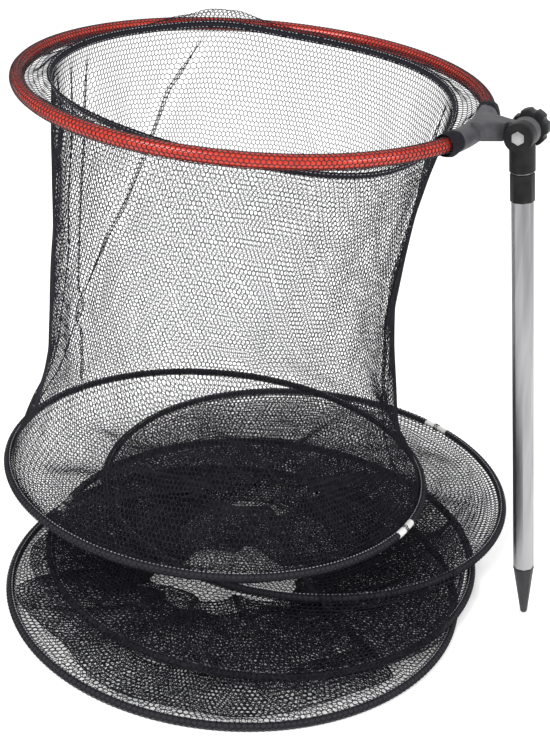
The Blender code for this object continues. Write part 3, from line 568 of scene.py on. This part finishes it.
HOOPS = {
    "hoop_1": (ring_frame(centre("hoop_1"), HOOP_1_TILT), HOOP_RADIUS),
    "hoop_2": (ring_frame(centre("hoop_2")), HOOP_RADIUS),
    "hoop_3": (ring_frame(centre("hoop_3")), HOOP_RADIUS),
    "base_hoop": (ring_frame((*centre("base_net")[:2], centre("base_hoop")[2])), BASE_HOOP_RADIUS),
}
MOUTH = ring_frame(centre("mouth_ring"), RING_TILT)
# From the camera's own frame on the ground to the part's
SHIFT = centre("base_net")[:2] - BASE_HOOP_RADIUS * np.array(BASE_PLACE_SHARES)


def ripple(azimuth, share, seed, turns, waves):
    """Smooth noise of about unit size, closed round the net."""
    random = np.random.default_rng(seed)
    total = np.zeros(np.broadcast(azimuth, share).shape)
    for _ in range(RIPPLE_WAVES):
        turn = random.integers(-turns, turns + 1)
        wave = random.uniform(-waves, waves)
        total += np.cos(turn * azimuth + math.tau * wave * share + random.uniform(0, math.tau))
    return total * math.sqrt(2 / RIPPLE_WAVES)


def ripples(azimuth, share, table, seed=0):
    """The sum of a table's ripples, each of its own size."""
    return sum(size * ripple(azimuth, share, seed + own, turns, waves) for size, own, turns, waves in table)


def ease(value):
    value = np.clip(value, 0, 1)
    return value * value * (3 - 2 * value)


def along(table, share, column):
    """A table's column against its first, with its corners rounded."""
    table = np.array(table, float)
    steps = np.linspace(-0.1, 1.1, TABLE_STEPS)
    values = np.interp(steps, table[:, 0], table[:, column])
    window = np.hanning(TABLE_ROUNDING_STEPS)[1:-1]
    values = np.convolve(np.pad(values, len(window) // 2, mode="edge"), window / window.sum(), "valid")
    return np.interp(share, steps, values)


def swell(azimuth, middle, span):
    """1 at the middle, falling softly to 0 beyond the span."""
    off = (azimuth - middle + math.pi) % math.tau - math.pi
    return np.exp(-(off / span) ** 2)


def peak(azimuth):
    """1 where the netting is drawn up at the back of the ring, 0 elsewhere."""
    return swell(azimuth, PEAK_AZIMUTH, PEAK_SPAN)


def tape_wave(azimuth):
    wave = sum(share * np.cos(turns * azimuth - phase) for turns, share, phase in TAPE_WAVE_SHARES)
    dip = TAPE_DIP * swell(azimuth, DIP_AZIMUTH, DIP_SPAN)
    return TAPE_RISE * wave - TAPE_DROP + TAPE_PEAK * peak(azimuth) - dip


def tape_point(azimuth, share, out=0.0):
    """A place on the tape: share -1 is its upper edge, +1 its lower one; out is off its middle layer."""
    reach = share * TAPE_WIDTH / 2
    radius = RING_RADIUS - TAPE_INSET - reach * math.sin(TAPE_SLOPE) + out * math.cos(TAPE_SLOPE)
    height = tape_wave(azimuth) - reach * math.cos(TAPE_SLOPE) - out * math.sin(TAPE_SLOPE)
    return polar(MOUTH, radius, azimuth, height)


def folds(azimuth, share):
    """Azimuth and radial lift of cloth that lies in threefold pleats along the fold lines."""
    bent, lift = azimuth.copy(), np.zeros_like(azimuth)
    width = FOLD_WIDTH / (HOOP_RADIUS * WAIST_RADIUS_SHARE)
    fade = ease(share / FOLD_TOP_SHARE) * ease((1 - share) / FOLD_FOOT_SHARE)
    for line in FOLDS:
        line = np.array(line, float)
        middle = np.radians(np.interp(share, line[:, 1], line[:, 0]))
        off = (azimuth - middle + math.pi) % math.tau - math.pi
        hump = fade * np.exp(-(off / width) ** 2)
        bent -= FOLD_TURN_BACK_SHARE * off * hump
        lift += FOLD_LIFT * off / width * hump
    return bent, lift


def hanging_net(u, v):
    """Section 1, from the tape down to hoop_1's hem."""
    azimuth = math.tau * u
    bent, lift = folds(azimuth, v)
    loose = ease(v / LOOSE_TOP_SHARE) * ease((1 - v) / LOOSE_FOOT_SHARE)
    bent = bent + loose * ripples(bent, v, SIDEWAYS_RIPPLES)
    ring, radius = HOOPS["hoop_1"]
    top = tape_point(bent, SEAM_ON_TAPE_SHARE)
    bottom = polar(ring, radius - HEM_RADIUS, bent, 0.0)
    place = top + (bottom - top) * v[:, None]
    inset = HOOP_RADIUS * along(WAIST_SHARES, v, 1)
    drift = HOOP_RADIUS * along(WAIST_SHARES, v, 2)
    radial = lift + loose * ripples(bent, v, OUTWARD_RIPPLES) - inset
    place[:, 0] += radial * np.cos(bent) + drift
    place[:, 1] += radial * np.sin(bent)
    place[:, 2] += loose * ripples(bent, v, UPWARD_RIPPLES)
    return place


def front_share(azimuth, zone):
    """1 inside a zone of the front, given by its middle and half its span, and 0 outside."""
    off = np.abs((azimuth - zone[0] + math.pi) % math.tau - math.pi)
    return ease((zone[1] - off) / FRONT_SOFTNESS)


def lengths(*places):
    """Lengths of the legs between places, one row for each."""
    return np.stack([np.linalg.norm(b - a, axis=1) for a, b in zip(places, places[1:])])


def rim_places(pile, azimuth):
    """Where a leg that turns out over the rim of the lower hoop ends."""
    ring, radius = HOOPS[pile["hoops"][1]]
    overhang, variation, turns = SPILLS[pile["spill"]]
    overhang = overhang * (1 + variation * ripple(azimuth, 0 * azimuth, pile["seed"] + 6, turns, 0))
    return polar(ring, radius + overhang, azimuth, 0.0)[:, :2]


def fold_places(pile, azimuth, upper, lower):
    """The corners of a collapsed section's path, as far in as its cloth reaches."""
    rims = rim_places(pile, azimuth)
    target = SHIFT + np.array(pile["middle"]) + np.cos(azimuth)[:, None] * np.array(pile["slit"])
    lobes = np.clip(1 + ripples(azimuth, 0 * azimuth, LOBE_RIPPLES, pile["seed"]), *LOBE_LIMITS)
    limit = 1 - pile["hole"] * lobes / np.linalg.norm(target - lower, axis=1)
    front = front_share(azimuth, COVERED_FRONT if pile["spill"] == "last" else FRONT)[:, None]

    def corners(reach):
        inner = lower + (target - lower) * reach[:, None]
        early = upper + (inner - upper) * SIDE_STEP_SHARE
        late = inner + (lower - inner) * SIDE_STEP_SHARE
        if pile["spill"] == "outward":
            return upper, early + (rims - early) * front, inner, late, lower
        if pile["spill"] == "inward":
            turned = rims + (inner - rims) * TURN_BACK_SHARE
            return upper, inner, late + (rims - late) * front, late + (turned - late) * front, lower
        return upper, early, inner, late + (rims - late) * front, lower

    near, far = np.zeros(len(azimuth)), limit
    for _ in range(REACH_TRIES):
        reach = (near + far) / 2
        fits = lengths(*corners(reach)).sum(axis=0) < SECTION_DEPTH * PILE_STRETCH_SHARE
        near, far = np.where(fits, reach, near), np.where(fits, far, reach)
    return np.stack(corners(reach))


def folded_path(corners, heights, levels):
    """A walk along the legs between corners, each at its own level, with the corners at their heights."""
    legs = lengths(*corners)
    ends = np.concatenate([np.zeros((1, corners.shape[1])), np.cumsum(legs, axis=0)])
    last = len(legs) - 1
    falls = (RIM_FALL, *(FOLD_FALL,) * last, RIM_FALL)

    def walk(run):
        run = np.clip(run, 0, ends[-1])
        out = np.zeros((len(run), 3))
        for i, level in enumerate(levels):
            here = (run >= ends[i]) & ((run < ends[i + 1]) | (i == last))
            share = (run - ends[i]) / np.maximum(legs[i], 1e-6)
            out[here, :2] = (corners[i] + (corners[i + 1] - corners[i]) * share[:, None])[here]
            start = (heights[i] - level) * np.exp(-(run - ends[i]) / falls[i])
            end = (heights[i + 1] - level) * np.exp(-(ends[i + 1] - run) / falls[i + 1])
            out[here, 2] = (level + start + end)[here]
        return out
    return walk, ends


def swayed_run(azimuth, v, total, seed):
    """How far along its path the netting lies: what is longer than the path sways back and forth on it."""
    slack = np.clip(SECTION_DEPTH / total - 1, 0, 1)
    window = ease(v / SWAY_MARGIN_SHARE) * ease((1 - v) / SWAY_MARGIN_SHARE)
    phase = math.tau * SWAY_RUNS * v + ripples(azimuth, 0 * azimuth, SWAY_RIPPLES, seed) + seed
    return np.clip(v + SWAY_SHARE * slack * window * np.sin(phase), 0, 1) * total


def rounded(walk, run, total):
    """The walk with its corners rounded, as the mean of the places just before and after."""
    room = np.minimum(1, np.minimum(run, total - run) / FOLD_ROUNDING)
    offsets = FOLD_ROUNDING * np.array((-1, -0.5, 0, 0.5, 1))
    return sum(walk(run + offset * room) for offset in offsets) / len(offsets)


def bunch(out, azimuth, v, crumple, seed):
    """Draws the netting together in slanted bunches, with soft creases."""
    loose = ease(np.minimum(v, 1 - v) / BUNCH_MARGIN_SHARE)
    inward = loose * (1 - np.abs(2 * v - 1)) ** 0.5
    phase = BUNCHES * azimuth + math.tau * BUNCH_SLANT * v + ripples(azimuth, v, BUNCH_RIPPLES, seed)
    pull = BUNCH_SHARE * HOOP_RADIUS / BUNCHES / 2 * np.sin(phase)
    side = inward * (ripples(azimuth, v, PILE_SIDEWAYS_RIPPLES, seed) - pull)
    back = loose * ripples(azimuth, v, PILE_OUTWARD_RIPPLES, seed)
    out[:, 0] += back * np.cos(azimuth) - side * np.sin(azimuth)
    out[:, 1] += back * np.sin(azimuth) + side * np.cos(azimuth)
    out[:, 2] += inward * BUNCH_HEIGHT_SHARE * crumple * np.cos(phase)
    out[:, 2] += crumple * loose * ripples(azimuth, v, PILE_UPWARD_RIPPLE_SHARES, seed)


def rest_over(out, hoop, first_legs):
    """Lifts the first legs to the top of a hoop's hem, where they cross it."""
    ring, radius = HOOPS[hoop]
    off = np.hypot(out[:, 0] - ring[0, 3], out[:, 1] - ring[1, 3]) - radius
    rest = HEM_RADIUS + HEM_CLEARANCE
    top = ring[2, 3] + np.sqrt(np.clip(rest ** 2 - off ** 2, 0, None))
    held = (np.abs(off) < rest) & first_legs
    out[:, 2] = np.where(held, np.maximum(out[:, 2], top), out[:, 2])


def keep_off_ground(out, azimuth, v, rim, seed):
    """Lifts the netting off the ground, as far as the lower of its rims allows."""
    ground = GROUND_HEIGHT + ripples(azimuth, v, GROUND_RIPPLES, seed)
    out[:, 2] = np.maximum(out[:, 2], np.minimum(ground, rim))


def piled_net(pile):
    """A collapsed section, laid along its legs with rounded folds, bunches and soft creases."""
    seed = pile["seed"]

    def place(u, v):
        azimuth = math.tau * u
        ring, radius = HOOPS[pile["hoops"][0]]
        upper = polar(ring, radius - HEM_RADIUS, azimuth, -SEAM_OFFSET)
        ring, radius = HOOPS[pile["hoops"][1]]
        lower = polar(ring, radius - HEM_RADIUS, azimuth, SEAM_OFFSET)
        corners = fold_places(pile, azimuth, upper[:, :2], lower[:, :2])
        heights = np.stack([upper[:, 2], *(np.full(len(u), fold) for fold in pile["folds"]), lower[:, 2]])
        walk, ends = folded_path(corners, heights, pile["levels"])
        run = swayed_run(azimuth, v, ends[-1], seed)
        out = rounded(walk, run, ends[-1])
        bunch(out, azimuth, v, pile["crumple"], seed)
        if pile["over"]:
            rest_over(out, pile["over"], run < ends[pile["legs_over"]])
        keep_off_ground(out, azimuth, v, np.minimum(upper[:, 2], lower[:, 2]), seed)
        return out
    return place


def honeycomb(columns, rows, place, first=0, last=None):
    """Strands that meet left and right neighbours by turns and run along a short joint with each."""
    last = columns if last is None else last
    column = np.arange(first, last)[:, None]
    row = np.arange(rows + 1)[None, :]
    side = (column + row // 2) % 2
    u = (column + side) / columns
    height = row // 2 * 1.5 + row % 2
    v = np.broadcast_to(height / height[0, -1], u.shape)
    points = place(u.ravel(), v.ravel())
    index = np.arange(u.size).reshape(u.shape)
    drawn = (row[:, :-1] % 2 == 1) | (side[:, :-1] == 1)
    edges = np.stack([index[:, :-1][drawn], index[:, 1:][drawn]], 1)
    return points, edges


def netting(name, points, edges, material=None, radius=STRAND_RADIUS):
    obj = mesh_object(name, points, edges)
    with_group(obj, STRANDS, {"Strand Radius": radius, "Strand Sides": STRAND_SIDES,
                              "Material": material or NETTING})
    return settle(obj)


def counts(length, width, mesh):
    """Strands across a length, even, and rows down a width, for a size of mesh."""
    columns = 2 * round(length / mesh)
    return columns, 2 * max(1, round(width / (1.5 * mesh * JOINT_SHARE)))


def section(name, place, mesh, pieces, radius=STRAND_RADIUS):
    """One section of the bag's wall, in pieces side by side, drawn out between its two levels."""
    around = math.tau * HOOP_RADIUS
    columns, rows = counts(around, SECTION_DEPTH, mesh)
    borders = [round(columns * i / pieces) for i in range(pieces + 1)]
    for i in range(pieces):
        lattice = honeycomb(columns, rows, place, borders[i], borders[i + 1])
        obj = netting(f"{name}_part_{i + 1}", *lattice, radius=radius)
        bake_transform(obj)
        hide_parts(name)


def level(name):
    """Height of a hoop's centre."""
    return float(HOOPS[name][0][2, 3])


tape_level = float(tape_point(np.zeros(1), 1.0)[0, 2])
section("net_section_1", hanging_net, HANGING_MESH, HANGING_PIECES)
for name, pile in PILES.items():
    section(name, piled_net(pile), PILED_MESH, PILED_PIECES,
            PILED_STRAND_RADIUS)


def floor_net():
    """The bag's floor: flat netting cut round and held in the base hoop."""
    ring, radius = HOOPS["base_hoop"]
    reach = radius - HEM_RADIUS
    columns, rows = counts(2 * reach, 2 * reach, PILED_MESH)

    def place(u, v):
        x, y = (2 * u - 1) * reach, (2 * v - 1) * reach
        wrinkle = FLOOR_WRINKLE * (1 + ripple(math.tau * u, v, 90, 9, 7))
        height = FLOOR_HEIGHT + np.clip(wrinkle, 0, FLOOR_WRINKLE_LIMIT)
        return np.column_stack([x + ring[0, 3], y + ring[1, 3], height])

    points, edges = honeycomb(columns, rows, place)
    inside = np.hypot(points[:, 0] - ring[0, 3], points[:, 1] - ring[1, 3]) < reach
    edges = edges[inside[edges].all(axis=1)]
    obj = netting("base_net_lattice", points, edges)
    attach(obj, "base")
    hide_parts("base_net")


floor_net()


def surface(name, rows, material, uv_steps, closed_u=False, closed_v=False):
    """A skin over a grid of points, with a UV in metres."""
    rows = np.asarray(rows)
    count_v, count_u = rows.shape[:2]
    index = np.arange(count_v * count_u).reshape(count_v, count_u)
    i = np.arange(count_v if closed_v else count_v - 1)
    j = np.arange(count_u if closed_u else count_u - 1)
    i, j = [grid.ravel() for grid in np.meshgrid(i, j, indexing="ij")]
    i2, j2 = (i + 1) % count_v, (j + 1) % count_u
    faces = np.stack([index[i, j], index[i, j2], index[i2, j2], index[i2, j]], 1)
    obj = mesh_object(name, rows.reshape(-1, 3), faces=faces, material=material)
    layer = obj.data.uv_layers.new(name="UVMap")
    corners = np.stack([np.stack([j, i], 1), np.stack([j + 1, i], 1), np.stack([j + 1, i + 1], 1),
                        np.stack([j, i + 1], 1)], 1).reshape(-1, 2) * np.array(uv_steps)
    layer.data.foreach_set("uv", corners.astype(np.float32).ravel())
    obj.data.polygons.foreach_set("use_smooth", np.full(len(faces), True))
    return obj


def torus_rows(ring, radius, turns, tube, sides):
    """Rows of points round a tube bent to a ring."""
    rows = []
    for side in range(sides):
        turn = -math.tau * side / sides
        rows.append(polar(ring, radius + tube * math.cos(turn), turns, tube * math.sin(turn)))
    return rows


def ring_tube(name, ring, radius, start, end, tube, faces, material):
    """A tube of one material along an arc of a ring."""
    sides, steps = faces
    turns = np.linspace(start, end, steps + 1)
    rows = torus_rows(ring, radius, turns, tube, sides)
    steps_uv = (radius * (end - start) / steps, math.tau * tube / sides)
    return surface(name, rows, material, steps_uv, closed_v=True)


def wrapped_net(name, ring, radius, start, end, tube, mesh, material=None):
    """Netting sewn round a tube."""
    columns, rows = counts(radius * (end - start), math.tau * tube, mesh)

    def place(u, v):
        turn = math.tau * v + SEAM_TURN
        return polar(ring, radius + tube * np.cos(turn), start + (end - start) * u, tube * np.sin(turn))

    points, edges = honeycomb(columns, rows, place)
    return netting(name, points, edges, material)


def line_edges(count, closed=False):
    """Edges that join points in a row."""
    index = np.arange(count if closed else count - 1)
    return np.stack([index, (index + 1) % count], 1)


def stitches(name, points, edges, body):
    """Stitches along a line, on one body."""
    obj = mesh_object(name, points, edges)
    with_group(obj, STITCHES, {"Spacing": STITCH_SPACING, "Length": STITCH_LENGTH, "Radius": STITCH_RADIUS,
                               "Material": THREAD})
    settle(obj)
    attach(obj, body)


HOOP_BODIES = {
    "hoop_1": ("upper_hoop", "hem_1", "joiner_1"),
    "hoop_2": ("middle_hoop", "hem_2", "joiner_2"),
    "hoop_3": ("lower_hoop", "hem_3", "joiner_3"),
    "base_hoop": ("base", "hem_base", "joiner_base"),
}


def dress_hem(name):
    """A hoop's rod, and its hem of netting with lining and stitches."""
    body, hem, _ = HOOP_BODIES[name]
    ring, radius = HOOPS[name]
    middle = JOINER_AZIMUTHS[name]
    half = FERRULE_LENGTH / 2 / radius
    start, end = middle + half, middle + math.tau - half
    rod = ring_tube(f"{name}_rod", ring, radius, middle, middle + math.tau, ROD_RADIUS, ROD_FACES, ROD)
    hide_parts(name)
    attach(rod, body)
    lining = ring_tube(f"{hem}_lining", ring, radius, start, end, LINING_RADIUS, LINING_FACES, LINING)
    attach(lining, body)
    net = wrapped_net(f"{hem}_net", ring, radius, start, end, HEM_RADIUS, PILED_MESH)
    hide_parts(hem)
    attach(net, body)
    reach = HEM_RADIUS + STITCH_RADIUS / 2
    turns = np.linspace(start, end, HEM_STITCH_STEPS + 1)
    seam = polar(ring, radius + reach * math.cos(STITCH_PLACE), turns, reach * math.sin(STITCH_PLACE))
    stitches(f"{hem}_stitches", seam, line_edges(len(seam)), body)


def dress_joiner(name):
    """The white ferrule over a hoop's joined ends, and the band of netting over the ferrule."""
    body, hem, joiner = HOOP_BODIES[name]
    ring, radius = HOOPS[name]
    middle = JOINER_AZIMUTHS[name]
    half = FERRULE_LENGTH / 2 / radius
    ferrule = ring_tube(f"{joiner}_sleeve", ring, radius, middle - half, middle + half, FERRULE_RADIUS,
                        FERRULE_FACES, WHITE)
    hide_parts(joiner)
    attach(ferrule, body)
    band = BAND_LENGTH / 2 / radius
    wrap = wrapped_net(f"{hem}_band", ring, radius, middle - band, middle + band, HEM_RADIUS + BAND_LIFT,
                       PILED_MESH / 2)
    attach(wrap, body)


for name in HOOPS:
    dress_hem(name)
    dress_joiner(name)


def dress_ring():
    """The mouth's tube, whose ends run into the yoke, and the net sleeve over it."""
    tube = ring_tube("mouth_ring_tube", MOUTH, RING_RADIUS, SLEEVE_START - SOCKET_DEPTH,
                     SLEEVE_END + SOCKET_DEPTH, RING_TUBE_RADIUS, RING_FACES, RED)
    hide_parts("mouth_ring")
    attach(tube, "mouth")
    sleeve = wrapped_net("mouth_sleeve_net", MOUTH, RING_RADIUS, SLEEVE_START, SLEEVE_END, SLEEVE_RADIUS,
                         SLEEVE_MESH, SLEEVE)
    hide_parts("mouth_sleeve")
    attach(sleeve, "mouth")


def sleeve_gather(label, edge, way):
    """One end of the sleeve, drawn together over the yoke's socket."""
    near = edge - way * GATHER_SPAN * GATHER_OVERLAP_SHARE
    turns = np.linspace(near, near + way * GATHER_SPAN, GATHER_STEPS + 1)
    bulge = np.sin(np.linspace(0, math.pi, GATHER_STEPS + 1)) ** GATHER_FULLNESS
    rows = []
    for side in range(GATHER_SIDES):
        turn = -way * math.tau * side / GATHER_SIDES
        lump = sum(size * np.cos(waves * turn + more * turns) for size, waves, more in GATHER_LUMPS)
        tube = GATHER_RADIUS - GATHER_SWELL + GATHER_SWELL * bulge + lump * bulge
        rows.append(polar(MOUTH, RING_RADIUS + tube * math.cos(turn), turns, tube * math.sin(turn)))
    steps_uv = (RING_RADIUS * GATHER_SPAN / GATHER_STEPS, math.tau * GATHER_RADIUS / GATHER_SIDES)
    gather = surface(f"mouth_sleeve_gather_{label}", rows, TAPE, steps_uv, closed_v=True)
    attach(gather, "mouth")


def skirt_place(u, v):
    """Netting from the sleeve's inner side to the tape, with a peak over the ring at the back."""
    azimuth = math.tau * u
    upper = polar(MOUTH, RING_RADIUS - SLEEVE_RADIUS, azimuth, SKIRT_TOP)
    lower = tape_point(azimuth, -SKIRT_ON_TAPE_SHARE)
    belly = np.sin(math.pi * v)
    sag = (ripples(azimuth, v, SKIRT_RIPPLES) - SKIRT_SAG) * belly
    out = upper + (lower - upper) * v[:, None]
    out[:, 2] += sag + SKIRT_PEAK * peak(azimuth) * np.sin(math.pi * v ** 0.7)
    return out


def dress_skirt():
    width = math.hypot(TAPE_INSET - SLEEVE_RADIUS - TAPE_WIDTH / 4, TAPE_WIDTH / 3)
    columns, rows = counts(math.tau * RING_RADIUS, width, HANGING_MESH)
    skirt = netting("mouth_skirt_net", *honeycomb(columns, rows, skirt_place))
    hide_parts("mouth_skirt")
    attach(skirt, "mouth")


def dress_tape():
    """The seam tape, with thick edges and a row of stitches near each of them on both faces."""
    turns = math.tau * np.arange(TAPE_STEPS) / TAPE_STEPS
    half = TAPE_THICKNESS / 2
    pucker = TAPE_PUCKER * np.cos(TAPE_PUCKERS * turns)
    rows = [tape_point(turns, share, out * half + pucker) for share, out in TAPE_OUTLINE_SHARES]
    steps_uv = (math.tau * (RING_RADIUS - TAPE_INSET) / TAPE_STEPS, TAPE_WIDTH / 4)
    tape = surface("mouth_tape_band", rows, TAPE, steps_uv, closed_u=True, closed_v=True)
    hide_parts("mouth_tape")
    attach(tape, "mouth")
    for label, share in (("upper", -TAPE_STITCH_SHARE), ("lower", TAPE_STITCH_SHARE)):
        for face, out in (("outer", half), ("inner", -half)):
            stitches(f"mouth_tape_stitches_{label}_{face}", tape_point(turns, share, out),
                     line_edges(TAPE_STEPS, closed=True), "mouth")


dress_ring()
sleeve_gather("front", SLEEVE_START, 1)
sleeve_gather("back", SLEEVE_END, -1)
dress_skirt()
dress_tape()

FINISHES = {
    "ring_yoke": GREY, "head_body": BLACK, "tilt_bolt": STEEL, "threaded_stud": STEEL,
    "clamp_washer": STEEL, "clamp_knob": KNOB, "knob_insert": BRASS, "stick_collar": BLACK,
    "stick_insert": BRASS, "stick_tube": ALLOY, "stick_spike": SPIKE,
}
for name, material in FINISHES.items():
    obj = frame["nodes"][name]
    obj.data.materials.clear()
    obj.data.materials.append(material)
    weld = obj.modifiers.new("Weld", "WELD")
    weld.merge_threshold = 0.00001
    bevel = obj.modifiers.new("Bevel", "BEVEL")
    bevel.width = EDGE_WIDTHS.get(name, EDGE_WIDTH)
    bevel.segments = 2
    bevel.limit_method = "ANGLE"
    bevel.angle_limit = BEVEL_ANGLE
    with_group(obj, EDGES, {"Angle": SHARP_ANGLE})


# Stage, light and camera

def floor():
    paper, nodes, links, bsdf = shader("paper_floor", 0.9)
    grain = noise(nodes, links, 30)
    blend_colours(nodes, links, grain, (0.94, 0.94, 0.94), (0.96, 0.96, 0.96), bsdf.inputs["Base Color"])
    bsdf.inputs["Emission Color"].default_value = (1, 1, 1, 1)
    bsdf.inputs["Emission Strength"].default_value = FLOOR_GLOW
    corners = [(x * FLOOR_REACH, y * FLOOR_REACH, 0) for x, y in ((-1, -1), (1, -1), (1, 1), (-1, 1))]
    mesh_object("floor", corners, faces=[(0, 1, 2, 3)], material=paper)


def studio():
    """Even light from all round, and a white background."""
    world = bpy.data.worlds.new("studio")
    bpy.context.scene.world = world
    world.use_nodes = True
    nodes, links = world.node_tree.nodes, world.node_tree.links
    light, seen = nodes["Background"], nodes.new("ShaderNodeBackground")
    light.inputs["Color"].default_value = (1, 1, 1, 1)
    light.inputs["Strength"].default_value = STUDIO_LIGHT
    seen.inputs["Color"].default_value = (1, 1, 1, 1)
    seen.inputs["Strength"].default_value = 1.0
    path, mix = nodes.new("ShaderNodeLightPath"), nodes.new("ShaderNodeMixShader")
    links.new(path.outputs["Is Camera Ray"], mix.inputs["Fac"])
    links.new(light.outputs["Background"], mix.inputs[1])
    links.new(seen.outputs["Background"], mix.inputs[2])
    links.new(mix.outputs["Shader"], nodes["World Output"].inputs["Surface"])


def turned_along(direction):
    """Euler angles that turn -Z along a direction."""
    x, y, z = direction
    return (math.atan2(math.hypot(x, y), -z), 0.0, math.atan2(-x, y))


def lamps():
    for name, (place, size, power) in LAMPS.items():
        lamp = bpy.data.lights.new(name, "AREA")
        lamp.size = size
        lamp.energy = power
        obj = bpy.data.objects.new(name, lamp)
        bpy.context.scene.collection.objects.link(obj)
        obj.location = place
        obj.rotation_euler = turned_along(np.array(LAMP_TARGET) - np.array(place))


def camera():
    lens = bpy.data.cameras.new("camera")
    lens.sensor_fit = "VERTICAL"
    lens.sensor_height = SENSOR
    lens.lens = CAMERA_LENS
    obj = bpy.data.objects.new("camera", lens)
    bpy.context.scene.collection.objects.link(obj)
    x, y, z = CAMERA_PLACE
    place = Matrix.Translation((x + SHIFT[0], y + SHIFT[1], z))
    pitch = Matrix.Rotation(math.radians(90) - CAMERA_PITCH, 4, "X")
    obj.matrix_world = place @ pitch @ Matrix.Rotation(CAMERA_ROLL, 4, "Z")
    bpy.context.scene.camera = obj


floor()
studio()
lamps()
camera()
bpy.context.scene.view_settings.view_transform = "Standard"
bpy.context.view_layer.update()
